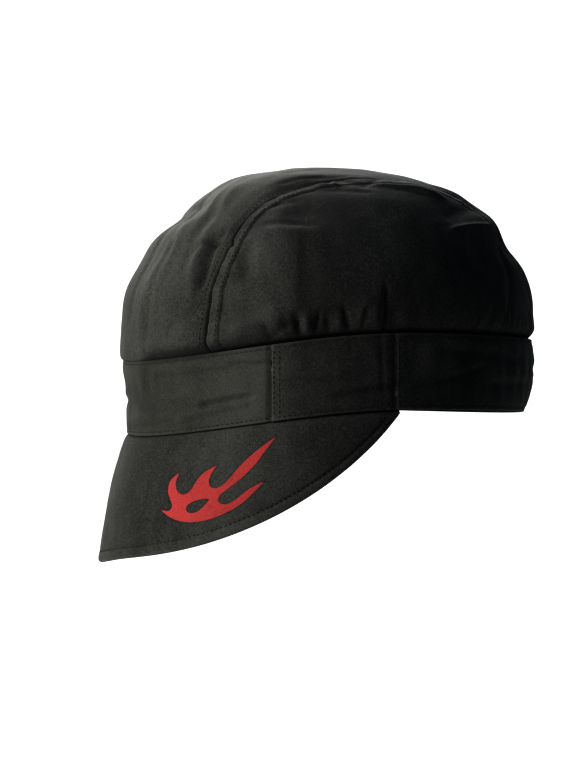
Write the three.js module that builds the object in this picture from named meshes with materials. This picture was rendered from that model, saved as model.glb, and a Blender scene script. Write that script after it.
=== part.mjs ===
// A soft cotton welding cap as it is worn: a crown of three panels, gathered on to a band of four
// pieces, and a short peak that hangs down in front of the forehead.
// Millimetres, +Z up. The wearer faces -Y, and their left is +X. The origin is the centre of the
// head opening, in the plane of the rim.
import * as THREE from "three";
import { mergeVertices } from "three/addons/utils/BufferGeometryUtils.js";

// Outer sizes of the head opening, and the heights of band and crown
const bandHalfWidth = 84;
const bandFrontReach = 98.5;
const bandBackReach = 101.5;
const bandHeight = 35;
const crownRise = 81;

// A head is narrower at the forehead than at the back: this share of the width comes and goes
const headTaper = 0.05;

// Cloth walls, and the gap that is left between two pieces that are sewn together
const crownCloth = 1.4;
const bandCloth = 2.2;
const peakCloth = 2.6;
const sewnGap = 0.3;

// The rim dips at the forehead and the nape, and rises a little over the ears
const foreheadDip = 12;
const napeDip = 1.5;
const earRise = 0.5;

// Elastic draws the back of the band in at the rim, and it ripples there
const napeDrawIn = 6;
const napeRipple = 0.7;
const napeRippleCount = 24;

// Places round the head, in degrees from the front, where the pieces end
const frontBandEnd = 51;
const backBandStart = 85;
const peakEnd = 86.5;
const seamFront = 33;
const seamBack = 147;

// The peak: its length at the middle and at its tips, its flare from the vertical in degrees, how
// far it bellies out, and how square its edge is
const peakLength = 59;
const peakTipLength = 1.5;
const peakFlare = 12.5;
const peakBelly = 3;
const peakSquareness = 2.6;

// The valley that the crown's cloth makes along its seams
const seamDip = 1.2;
const seamDipReach = 7;

// How the crown's seams stray from an even course. Place is a share of the way from the forehead
// to the nape, spread a share of it too, and aside is away from the middle in shares of the radius.
const seamStrays = [
  { name: "drawn in over the temple", place: 0.25, spread: 0.15, aside: -0.11 },
  { name: "let out on top", place: 0.5, spread: 0.17, aside: 0.05 },
];

// Gathers where the crown is sewn on to the band. They begin behind the temple, in degrees.
const gatherDepth = 1.3;
const gatherHeight = 12;
const gatherCount = 46;
const gatherBegin = 36;
const gatherFull = 52;
const gatherUnevenness = 0.35;
const gatherDrifts = [
  { count: 3, swing: 1.7 },
  { count: 7, swing: 0.9 },
];

// The side band is nipped in under the crown's side crease, in degrees and millimetres
const bandNipPlace = 82;
const bandNipSpread = 2.5;
const bandNipDepth = 0.9;

// The crown's horizontal sections, as shares of crownRise and of the band's half width and reaches
const crownSections = [
  { rise: 0.0, side: 0.985, front: 1.0, back: 0.99 },
  { rise: 0.07, side: 1.025, front: 1.028, back: 1.012 },
  { rise: 0.2, side: 1.035, front: 1.025, back: 1.01 },
  { rise: 0.36, side: 1.01, front: 0.998, back: 0.976 },
  { rise: 0.52, side: 0.96, front: 0.915, back: 0.912 },
  { rise: 0.68, side: 0.86, front: 0.8, back: 0.822 },
  { rise: 0.83, side: 0.69, front: 0.63, back: 0.662 },
  { rise: 0.945, side: 0.42, front: 0.42, back: 0.402 },
  { rise: 1.0, side: 0.0, front: 0.0, back: 0.0 },
];

// The crown's folds and dents. Each runs between two directions seen from the head's centre, in
// degrees round from the front and up from the band. Spread and depth are shares of crownRise.
const crownFolds = [
  { name: "side crease", round1: 82, up1: 11, round2: 83, up2: 0, spread: 0.06, depth: -0.042 },
  { name: "side crease lip", round1: 74, up1: 9, round2: 76, up2: 0, spread: 0.07, depth: 0.022 },
  { name: "back hollow", round1: 122, up1: 26, round2: 156, up2: 29, spread: 0.12, depth: -0.042 },
  { name: "back ridge", round1: 106, up1: 35, round2: 152, up2: 38, spread: 0.08, depth: 0.017 },
  { name: "back top hollow", round1: 112, up1: 49, round2: 156, up2: 52, spread: 0.1, depth: -0.018 },
  { name: "brow hollow", round1: -30, up1: 36, round2: 12, up2: 42, spread: 0.12, depth: -0.03 },
  { name: "front soft fold", round1: 4, up1: 14, round2: 12, up2: 50, spread: 0.08, depth: 0.014 },
  { name: "seam hollow", round1: 22, up1: 16, round2: 19, up2: 36, spread: 0.09, depth: -0.022 },
  { name: "temple swell", round1: 46, up1: 18, round2: 42, up2: 36, spread: 0.15, depth: 0.02 },
  { name: "temple crease", round1: 56, up1: 12, round2: 53, up2: 40, spread: 0.07, depth: -0.014 },
  { name: "band pucker", round1: 38, up1: 7, round2: 52, up2: 6, spread: 0.07, depth: 0.022 },
  { name: "top wrinkle", round1: 52, up1: 60, round2: 112, up2: 52, spread: 0.09, depth: 0.014 },
  { name: "far side hollow", round1: -68, up1: 16, round2: -96, up2: 30, spread: 0.14, depth: -0.03 },
  { name: "far side swell", round1: -46, up1: 20, round2: -58, up2: 38, spread: 0.14, depth: 0.02 },
  { name: "nape hollow", round1: 176, up1: 16, round2: -160, up2: 26, spread: 0.15, depth: -0.026 },
];

// Grids of the pieces: steps along and across
const sideSteps = [60, 13];
const centreSteps = [50, 9];
const frontBandSteps = [24, 2];
const sideBandSteps = [10, 3];
const backBandSteps = [56, 3];
const peakSteps = [36, 7];

const centreBelowBand = 5;
const crownBase = bandHeight + sewnGap;
const headCentre = new THREE.Vector3(0, 0, crownBase - centreBelowBand);
const bisections = 36;
const radians = THREE.MathUtils.degToRad;
const bell = (offset) => Math.exp(-(offset ** 2));

// A section of the crown at share 0 to 1 of the way up its table, on a curve through the rows. Past
// the last row the curve goes on into its mirror image, so that the top is level.
function crownSection(share) {
  const last = crownSections.length - 1;
  const place = THREE.MathUtils.clamp(share, 0, 1) * last;
  const row = Math.min(Math.floor(place), last - 1);
  const part = place - row;
  const value = (index, key) => {
    if (index < 0) return 2 * crownSections[0][key] - crownSections[1][key];
    if (index > last) return crownSections[last - 1][key] * (key === "rise" ? 1 : -1);
    return crownSections[index][key];
  };
  const curve = (key) => {
    const [a, b, c, d] = [-1, 0, 1, 2].map((step) => value(row + step, key));
    const square = 2 * a - 5 * b + 4 * c - d;
    const cube = 3 * b - a - 3 * c + d;
    return 0.5 * (2 * b + (c - a) * part + square * part ** 2 + cube * part ** 3);
  };
  return {
    height: crownBase + curve("rise") * crownRise,
    halfWidth: Math.max(curve("side"), 1e-6) * bandHalfWidth,
    front: Math.max(curve("front"), 1e-6) * bandFrontReach,
    back: Math.max(curve("back"), 1e-6) * bandBackReach,
  };
}

// A point of a horizontal oval, at an angle round from the front
function ovalPoint(angle, halfWidth, front, back, height) {
  const ahead = Math.cos(angle);
  const x = halfWidth * Math.sin(angle) * (1 - headTaper * ahead);
  return new THREE.Vector3(x, -(ahead > 0 ? front : back) * ahead, height);
}

// The distance from the head's centre to the bare crown in a direction, found by halving
function crownDistance(direction) {
  let [low, high] = [0, 1];
  const reachTo = (section) => (section.height - headCentre.z) / Math.max(direction.z, 1e-9);
  for (let i = 0; i < bisections; i++) {
    const middle = (low + high) / 2;
    const section = crownSection(middle);
    const distance = reachTo(section);
    const ahead = -(distance * direction.y) / (direction.y < 0 ? section.front : section.back);
    const aside = (distance * direction.x) / (section.halfWidth * (1 - headTaper * ahead));
    if (aside ** 2 + ahead ** 2 > 1) high = middle;
    else low = middle;
  }
  return reachTo(crownSection((low + high) / 2));
}

// The angle round the head of a point, 0 at the front and positive to the wearer's left
function angleRound(point) {
  return Math.atan2(point.x / bandHalfWidth, -point.y / bandFrontReach);
}

// How far the rim, and what stands on it, is raised at an angle
function rimRaise(angle) {
  const ahead = Math.cos(angle);
  const dip = foreheadDip * Math.max(ahead, 0) ** 1.8 + napeDip * Math.max(-ahead, 0) ** 2;
  return earRise * Math.sin(angle) ** 2 - dip;
}

// Raises a point with the rim. The raise fades out up the crown.
function raised(point) {
  const up = THREE.MathUtils.clamp((point.z - bandHeight) / crownRise, 0, 1);
  point.z += rimRaise(angleRound(point)) * (1 - up ** 1.2);
  return point;
}

// A direction from its degrees round from the front and up from the band
function directionOf(round, up) {
  const [turn, tilt] = [radians(round), radians(up)];
  const level = Math.cos(tilt);
  return new THREE.Vector3(Math.sin(turn) * level, -Math.cos(turn) * level, Math.sin(tilt));
}

const foldCourses = crownFolds.map((fold) => {
  const start = directionOf(fold.round1, fold.up1);
  const end = directionOf(fold.round2, fold.up2);
  const across = new THREE.Vector3().crossVectors(start, end).normalize();
  const along = new THREE.Vector3().crossVectors(across, start);
  return { ...fold, start, across, along, length: start.angleTo(end) };
});

// The height of all folds in a direction: each is a bell across its course, rounded at its ends
function foldHeight(direction, distance) {
  let height = 0;
  for (const { start, across, along, length, spread, depth } of foldCourses) {
    const reach = (spread * crownRise) / distance;
    const aside = Math.asin(direction.dot(across)) / reach;
    const place = Math.atan2(direction.dot(along), direction.dot(start));
    const beyond = Math.max(-place, place - length, 0) / (1.5 * reach);
    height += depth * crownRise * bell(aside) * bell(beyond);
  }
  return height;
}

// The gathers over the band: an uneven wave round the head that dies out upwards and at the stitches
function gatherSwell(angle, above) {
  let phase = gatherCount * angle;
  for (const { count, swing } of gatherDrifts) phase += swing * Math.sin(count * angle);
  const uneven = 1 - gatherUnevenness * (1 + Math.sin(5 * angle)) * 0.5;
  const turn = Math.abs(angle);
  const fullness = THREE.MathUtils.smoothstep(turn, radians(gatherBegin), radians(gatherFull));
  const rise = (1 - bell((2 * above) / gatherHeight)) * bell(above / gatherHeight);
  return gatherDepth * Math.sin(phase) * uneven * fullness * rise;
}

// Outer and inner face of the crown in a direction, with its folds and gathers and the seams' valley
function crownWall(direction, seams) {
  const distance = crownDistance(direction);
  const above = Math.max(headCentre.z + distance * direction.z - crownBase, 0);
  const sewnDown = bell(above / seamDipReach);
  let height = foldHeight(direction, distance) * (1 - sewnDown);
  height += gatherSwell(angleRound(direction), above);
  for (const seam of seams) {
    const away = (distance * direction.angleTo(seam)) / seamDipReach;
    height -= seamDip * bell(away) * (1 - sewnDown);
  }
  return [0, crownCloth].map((depth) =>
    raised(direction.clone().multiplyScalar(distance + height - depth).add(headCentre)),
  );
}

// The direction of the crown's foot at an angle round the head
function crownFoot(angle) {
  const foot = crownSection(0);
  const point = ovalPoint(angle, foot.halfWidth, foot.front, foot.back, foot.height);
  return point.sub(headCentre).normalize();
}

// The direction of a crown seam at share 0 to 1 from the forehead over the top to the nape. Side is
// 1 for the wearer's left, and inset moves it away from the middle, in millimetres.
function seamDirection(share, side, inset) {
  const front = crownFoot(radians(seamFront));
  const back = crownFoot(radians(seamBack));
  const startAngle = Math.atan2(front.z, -front.y);
  const endAngle = Math.PI - Math.atan2(back.z, back.y);
  const angle = THREE.MathUtils.lerp(startAngle, endAngle, share);
  const startAside = front.x / Math.hypot(front.y, front.z);
  const endAside = back.x / Math.hypot(back.y, back.z);
  let aside = THREE.MathUtils.lerp(startAside, endAside, share) + inset / bandFrontReach;
  const ends = Math.min(share, 1 - share);
  for (const stray of seamStrays)
    aside += stray.aside * bell((share - stray.place) / stray.spread) * Math.min(10 * ends, 1);
  return new THREE.Vector3(side * aside, -Math.cos(angle), Math.sin(angle)).normalize();
}

// The centre panel: along from the forehead to the nape, across from the right seam to the left.
// Near its ends the rows bend from straight chords to the oval of the crown's foot.
function centrePanel(along, across) {
  const endShare = 0.25;
  const inset = sewnGap / 2;
  const chord = (share) =>
    seamDirection(share, -1, -inset).lerp(seamDirection(share, 1, -inset), across);
  const side = 2 * across - 1;
  const forehead = crownFoot(side * (radians(seamFront) - inset / bandFrontReach));
  const napeTurn = Math.PI - radians(seamBack) - inset / bandBackReach;
  const nape = crownFoot(Math.PI - side * napeTurn);
  const direction = chord(along);
  const nearFront = Math.max(1 - along / endShare, 0);
  const nearBack = Math.max(1 - (1 - along) / endShare, 0);
  direction.addScaledVector(forehead.sub(chord(0)), nearFront ** 2);
  direction.addScaledVector(nape.sub(chord(1)), nearBack ** 2);
  const seams = [seamDirection(along, 1, 0), seamDirection(along, -1, 0)];
  return crownWall(direction.normalize(), seams);
}

// A side panel: along from the forehead to the nape, across from the band up to the seam
function sidePanel(side) {
  return (along, across) => {
    const angle = radians(THREE.MathUtils.lerp(seamFront, seamBack, along));
    const seam = seamDirection(along, side, sewnGap / 2);
    const direction = crownFoot(side * angle).lerp(seam, across).normalize();
    return crownWall(direction, [seamDirection(along, side, 0)]);
  };
}

// Outer and inner face of the band at an angle and at a share 0 to 1 of its height
function bandWall(angle, share) {
  const nape = Math.max(-Math.cos(angle), 0);
  const back = bandBackReach - napeDrawIn * nape * (1 - share) ** 3;
  const point = ovalPoint(angle, bandHalfWidth, bandFrontReach, back, share * bandHeight);
  const outward = new THREE.Vector3(point.x / bandHalfWidth ** 2, point.y / back ** 2, 0);
  const up = rimRaise(angleRound(point));
  const midHeight = Math.sin(Math.PI * share);
  const ripple = napeRipple * nape * Math.sin(napeRippleCount * angle);
  const nip = bandNipDepth * bell((angle - radians(bandNipPlace)) / radians(bandNipSpread));
  point.addScaledVector(outward.normalize(), (ripple - nip) * midHeight);
  point.z += up;
  return [point, point.clone().addScaledVector(outward, -bandCloth)];
}

// A stretch of band between two places in degrees, half a gap short of each
function bandStretch(from, to) {
  const gap = sewnGap / 2 / bandFrontReach;
  const [start, end] = [radians(from) + gap, radians(to) - gap];
  return (along, across) => bandWall(THREE.MathUtils.lerp(start, end, along), across);
}

// The peak's length at an angle: rounded off towards its tips
function peakReach(angle) {
  const share = Math.min(Math.abs(angle) / radians(peakEnd), 1);
  return THREE.MathUtils.lerp(peakLength, peakTipLength, share ** peakSquareness);
}

// The peak: along from the right ear to the left, across from the rim down to its edge
function peakWall(along, across) {
  const angle = radians(peakEnd) * (2 * along - 1);
  const flare = radians(peakFlare);
  const reach = peakReach(angle);
  const point = ovalPoint(angle, bandHalfWidth, bandFrontReach, bandBackReach, -sewnGap);
  const normal = new THREE.Vector3(point.x / bandHalfWidth ** 2, point.y / bandFrontReach ** 2, 0);
  normal.normalize();
  raised(point);
  const belly = peakBelly * (reach / peakLength) * Math.sin(Math.PI * across ** 0.8);
  point.addScaledVector(normal, reach * across * Math.sin(flare) + belly);
  point.z -= reach * across * Math.cos(flare);
  const outward = normal.multiplyScalar(Math.cos(flare)).setZ(Math.sin(flare));
  return [point, point.clone().addScaledVector(outward, -peakCloth)];
}

// A closed piece of cloth: its outer and inner faces on a grid, and a strip along each border.
// Where a border shrinks to a point its corners are merged, and the flat triangles are dropped.
// Mirrored is for a grid that runs clockwise seen from outside.
function clothSolid([columns, rows], wall, mirrored = false) {
  const positions = [];
  for (let i = 0; i <= columns; i++)
    for (let j = 0; j <= rows; j++)
      for (const point of wall(i / columns, j / rows)) positions.push(...point.toArray());
  const at = (i, j, face) => 2 * (i * (rows + 1) + j) + face;
  const corners = [];
  const quad = (a, b, c, d) => corners.push([a, b, c], [a, c, d]);
  for (let i = 0; i < columns; i++)
    for (let j = 0; j < rows; j++) {
      quad(at(i, j, 0), at(i + 1, j, 0), at(i + 1, j + 1, 0), at(i, j + 1, 0));
      quad(at(i, j, 1), at(i, j + 1, 1), at(i + 1, j + 1, 1), at(i + 1, j, 1));
    }
  for (let i = 0; i < columns; i++) {
    quad(at(i, 0, 1), at(i + 1, 0, 1), at(i + 1, 0, 0), at(i, 0, 0));
    quad(at(i, rows, 0), at(i + 1, rows, 0), at(i + 1, rows, 1), at(i, rows, 1));
  }
  for (let j = 0; j < rows; j++) {
    quad(at(0, j, 0), at(0, j + 1, 0), at(0, j + 1, 1), at(0, j, 1));
    quad(at(columns, j, 1), at(columns, j + 1, 1), at(columns, j + 1, 0), at(columns, j, 0));
  }
  const loose = new THREE.BufferGeometry();
  loose.setAttribute("position", new THREE.Float32BufferAttribute(positions, 3));
  loose.setIndex(corners.flat());
  const cloth = mergeVertices(loose, 1e-3);
  const merged = cloth.index.array;
  const kept = [];
  for (let i = 0; i < merged.length; i += 3) {
    const [a, b, c] = merged.slice(i, i + 3);
    if (a === b || b === c || c === a) continue;
    kept.push(...(mirrored ? [a, c, b] : [a, b, c]));
  }
  cloth.setIndex(kept);
  cloth.computeVertexNormals();
  return cloth;
}

// One piece of cloth as a mesh
function sewnPiece(name, geometry, color) {
  const material = new THREE.MeshStandardMaterial({ color, roughness: 0.9, metalness: 0 });
  const mesh = new THREE.Mesh(geometry, material);
  mesh.name = name;
  return mesh;
}

const plainCotton = "#2b2b29";
const twillCotton = "#2f2e2b";
const frontStretch = bandStretch(-frontBandEnd, frontBandEnd);
const rightStretch = bandStretch(-backBandStart, -frontBandEnd);
const leftStretch = bandStretch(frontBandEnd, backBandStart);
const backStretch = bandStretch(backBandStart, 360 - backBandStart);

const crown = new THREE.Group();
crown.add(
  sewnPiece("crown_centre", clothSolid(centreSteps, centrePanel, true), plainCotton),
  sewnPiece("crown_left", clothSolid(sideSteps, sidePanel(1)), plainCotton),
  sewnPiece("crown_right", clothSolid(sideSteps, sidePanel(-1), true), plainCotton),
);

const band = new THREE.Group();
band.add(
  sewnPiece("band_front", clothSolid(frontBandSteps, frontStretch), twillCotton),
  sewnPiece("band_left", clothSolid(sideBandSteps, leftStretch), plainCotton),
  sewnPiece("band_right", clothSolid(sideBandSteps, rightStretch), plainCotton),
  sewnPiece("band_back", clothSolid(backBandSteps, backStretch), plainCotton),
);

const cap = new THREE.Group();
cap.add(crown, band, sewnPiece("peak", clothSolid(peakSteps, peakWall, true), plainCotton));

export default cap;
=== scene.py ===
import math

import bmesh
import bpy
import numpy as np
from bpy.props import FloatProperty, FloatVectorProperty, PointerProperty
from bpy.types import Operator, Panel, PropertyGroup
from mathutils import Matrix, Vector


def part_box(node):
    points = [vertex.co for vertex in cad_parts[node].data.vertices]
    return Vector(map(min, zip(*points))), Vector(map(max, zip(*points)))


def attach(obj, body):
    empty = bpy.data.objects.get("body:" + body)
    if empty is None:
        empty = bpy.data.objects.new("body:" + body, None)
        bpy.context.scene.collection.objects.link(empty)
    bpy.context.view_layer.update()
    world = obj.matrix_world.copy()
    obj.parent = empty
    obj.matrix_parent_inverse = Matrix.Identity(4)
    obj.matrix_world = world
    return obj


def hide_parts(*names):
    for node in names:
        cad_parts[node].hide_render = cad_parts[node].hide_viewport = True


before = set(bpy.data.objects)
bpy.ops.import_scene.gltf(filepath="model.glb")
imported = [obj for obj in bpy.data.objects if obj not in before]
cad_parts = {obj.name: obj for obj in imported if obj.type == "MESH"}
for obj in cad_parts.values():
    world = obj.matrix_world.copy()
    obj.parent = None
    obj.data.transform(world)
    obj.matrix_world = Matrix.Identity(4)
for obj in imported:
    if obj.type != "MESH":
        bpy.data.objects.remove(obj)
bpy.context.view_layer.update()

MM = 0.001
DEG = math.pi / 180
BODY = "root"

bl_info = {
    "name": "Welding cap",
    "version": (1, 0, 0),
    "blender": (4, 5, 0),
    "location": "3D View > Sidebar > Cap",
    "description": "Sews a soft cotton welding cap around its packed frame",
    "category": "Object",
}


# ---------------------------------------------------------------- sizes and colours


def length(description, default):
    """A length that the user may set, in metres."""
    return FloatProperty(description=description, default=default, min=0.0, unit="LENGTH",
                         subtype="DISTANCE", precision=5)


def angle(description, degrees):
    """An angle that the user may set."""
    return FloatProperty(description=description, default=degrees * DEG, unit="ROTATION",
                         subtype="ANGLE")


def share(description, default):
    """A share from 0 to 1 that the user may set."""
    return FloatProperty(description=description, default=default, min=0.0, max=1.0,
                         subtype="FACTOR")


def colour(description, default):
    """A colour that the user may set."""
    return FloatVectorProperty(description=description, default=default, size=3, min=0.0,
                               max=1.0, subtype="COLOR")


class CapSizes(PropertyGroup):
    """Sizes of the cap. The outlines of its crown and band are those of the solids."""

    band_half_width: length("Half the rim's outer width", 84 * MM)
    band_front_reach: length("From the middle to the forehead", -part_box("band_front")[0].y)
    band_back_reach: length("From the middle to the nape", 101.5 * MM)
    band_height: length("Height of the band", 35 * MM)
    crown_rise: length("From the band up to the top", 81 * MM)
    head_taper: share("How much narrower the forehead is than the nape", 0.05)
    sewn_gap: length("Gap between pieces that are sewn together", 0.3 * MM)
    cloth: length("Thickness of the crown's cloth", 0.9 * MM)
    ply: length("Thickness of the band's outer ply", 1.1 * MM)
    peak_cloth: length("Thickness of the peak", 2.0 * MM)
    tuck: length("How far the peak runs in behind the band", 2.6 * MM)
    crown_tuck: length("How far the crown runs in behind the band", 6 * MM)
    forehead_dip: length("How far the rim dips in front", 12 * MM)
    nape_dip: length("How far the rim dips at the back", 1.5 * MM)
    ear_rise: length("How far the rim rises over the ears", 0.5 * MM)
    nape_draw_in: length("How far elastic draws the rim in at the back", 6 * MM)
    front_band_end: angle("Where the twill band ends", 51)
    back_band_start: angle("Where the elastic band begins", 85)
    peak_end: angle("Where the peak's tips are", 86.5)
    seam_front: angle("Where the crown's seams start", 33)
    seam_back: angle("Where the crown's seams end", 147)
    peak_length: length("Length of the peak at its middle, before it droops", 56.2 * MM)
    peak_tip_length: length("Length of the peak at its tips", 1.5 * MM)
    peak_flare: angle("How far the peak stands off the vertical", 12.5)
    peak_belly: length("How far the peak bellies out", 2.2 * MM)
    peak_squareness: FloatProperty(description="How square its edge is", default=2.95, min=1.0)
    gather_depth: length("Depth of the gathers over the band", 1.35 * MM)
    gather_height: length("How far up the gathers reach", 12 * MM)
    gather_begin: angle("Where the gathers begin", 43)
    gather_full: angle("Where the gathers are at their deepest", 62)
    fell_width: length("From the crown's seam to its topstitching", 6.4 * MM)
    stitch_pitch: length("From one stitch to the next", 2.3 * MM)
    stitch_length: length("Visible length of one stitch", 1.6 * MM)
    thread: length("Thickness of the sewing thread", 0.42 * MM)
    hem_inset: length("From the peak's edge to its stitching", 5 * MM)
    grid: length("Size of a mesh cell on the cloth", 0.85 * MM)


class CapColours(PropertyGroup):
    """Colours of the cap's cloth, thread and print."""

    cotton: colour("Washed black cotton of crown and peak", (0.024, 0.0242, 0.0236))
    # Paler cotton, where it is scuffed and where light is painted on
    faded: colour("Where the cotton is worn", (0.062, 0.0625, 0.0585))
    twill: colour("Black twill of the front band", (0.029, 0.029, 0.026))
    thread: colour("Sewing thread", (0.009, 0.009, 0.009))
    ink: colour("Red of the flame print", (0.34, 0.047, 0.048))
    floor: colour("Pale floor", (0.80, 0.80, 0.79))


# ---------------------------------------------------------------- noise and small shapes


def bell(offset):
    """A bell curve: e to the minus offset squared."""
    return np.exp(-np.square(offset))


def smooth(value, low, high):
    """0 below low, 1 above high, and a smooth S between."""
    part = np.clip((value - low) / (high - low), 0.0, 1.0)
    return part * part * (3 - 2 * part)


def sideways(turn, low, high):
    """A smooth S from 0 at low to 1 at high degrees round from the front, on either side."""
    return smooth(np.abs(turn), low * DEG, high * DEG)


def noise(points, cell, seed):
    """Smooth noise from -1 to 1: each corner of a lattice with the given cell has its own number,
    and a point takes a smooth mean of the eight corners round it."""
    place = np.asarray(points) / cell
    base = np.floor(place).astype(np.int64)
    part = place - base
    part = part * part * part * (part * (part * 6 - 15) + 10)
    total = np.zeros(place.shape[:-1])
    for corner in range(8):
        step = np.array([corner & 1, corner >> 1 & 1, corner >> 2 & 1])
        node = base + step
        mixed = node[..., 0] * 374761393 + node[..., 1] * 668265263 + node[..., 2] * 2147483647
        mixed = (mixed + seed * 974634777) & 0xFFFFFFFF
        mixed = ((mixed ^ (mixed >> 13)) * 1274126177) & 0xFFFFFFFF
        mixed = mixed ^ (mixed >> 16)
        weight = np.where(step == 1, part, 1 - part).prod(-1)
        total += weight * ((mixed & 0xFFFF) / 32767.5 - 1)
    return total


def normalised(vectors):
    """The same directions, one unit long."""
    return vectors / np.maximum(np.linalg.norm(vectors, axis=-1, keepdims=True), 1e-12)


def distance_along(points, axis=0):
    """Distance along each line of points, from its start."""
    run = np.linalg.norm(np.diff(points, axis=axis), axis=-1)
    start = 0 * np.take(run, [0], axis)
    return np.concatenate([start, np.cumsum(run, axis=axis)], axis=axis)


def between(a, b, c, d, part):
    """Point between b and c on a smooth cubic curve through four points."""
    square = 2 * a - 5 * b + 4 * c - d
    cube = 3 * b - a - 3 * c + d
    return 0.5 * (2 * b + (c - a) * part + square * part ** 2 + cube * part ** 3)


def grid_normals(points, outside):
    """Normals of a grid of points, from its two differences, turned to the side of outside."""
    along = np.gradient(points, axis=0)
    across = np.gradient(points, axis=1)
    normals = normalised(np.cross(along, across))
    facing = np.sign((normals * outside).sum(-1, keepdims=True))
    return normals * np.where(facing == 0, 1, facing)


# ---------------------------------------------------------------- the shape of the cap

# The crown's horizontal sections: rise, half width, front and back, as shares of the crown's rise
# and of the band's half width and reaches
SECTIONS = np.array([
    (0.0, 0.985, 1.0, 0.99),
    (0.07, 1.025, 1.028, 1.012),
    (0.2, 1.035, 1.025, 1.01),
    (0.36, 1.01, 0.998, 0.976),
    (0.52, 0.96, 0.915, 0.912),
    (0.68, 0.86, 0.8, 0.822),
    (0.83, 0.69, 0.63, 0.662),
    (0.945, 0.42, 0.42, 0.402),
    (1.0, 0.0, 0.0, 0.0),
])

# How the crown's seams stray: place and spread as shares of their way, and how far aside as a
# share of the radius
SEAM_STRAYS = [
    ("drawn in over the temple", 0.25, 0.15, -0.11),
    ("let out over the brow", 0.17, 0.07, 0.032),
    ("let out on top", 0.5, 0.17, 0.05),
]

# The crown's main folds, from one direction to another in degrees round from the front and up from
# the head's centre; spread and depth as shares of the crown's rise
FOLDS = [
    ("side crease", 82, 11, 83, 0, 0.05, -0.012),
    ("side crease lip", 74, 9, 76, 0, 0.07, 0.016),
    ("back hollow", 122, 26, 156, 29, 0.12, -0.03),
    ("back ridge", 108, 35, 154, 38, 0.09, 0.01),
    ("brow hollow", -30, 36, 12, 42, 0.12, -0.03),
    ("front soft fold", 4, 14, 12, 50, 0.08, 0.014),
    ("seam hollow", 24, 17, 22, 34, 0.06, -0.007),
    ("temple swell", 46, 18, 42, 36, 0.15, 0.02),
    ("temple crease", 56, 12, 53, 40, 0.07, -0.014),
    ("band pucker", 38, 7, 52, 6, 0.07, 0.022),
    ("top wrinkle", 52, 60, 112, 52, 0.09, 0.014),
    ("far side hollow", -68, 16, -96, 30, 0.14, -0.03),
    ("far side swell", -46, 20, -58, 38, 0.14, 0.02),
    ("nape hollow", 176, 16, -160, 26, 0.15, -0.026),
]

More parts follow.
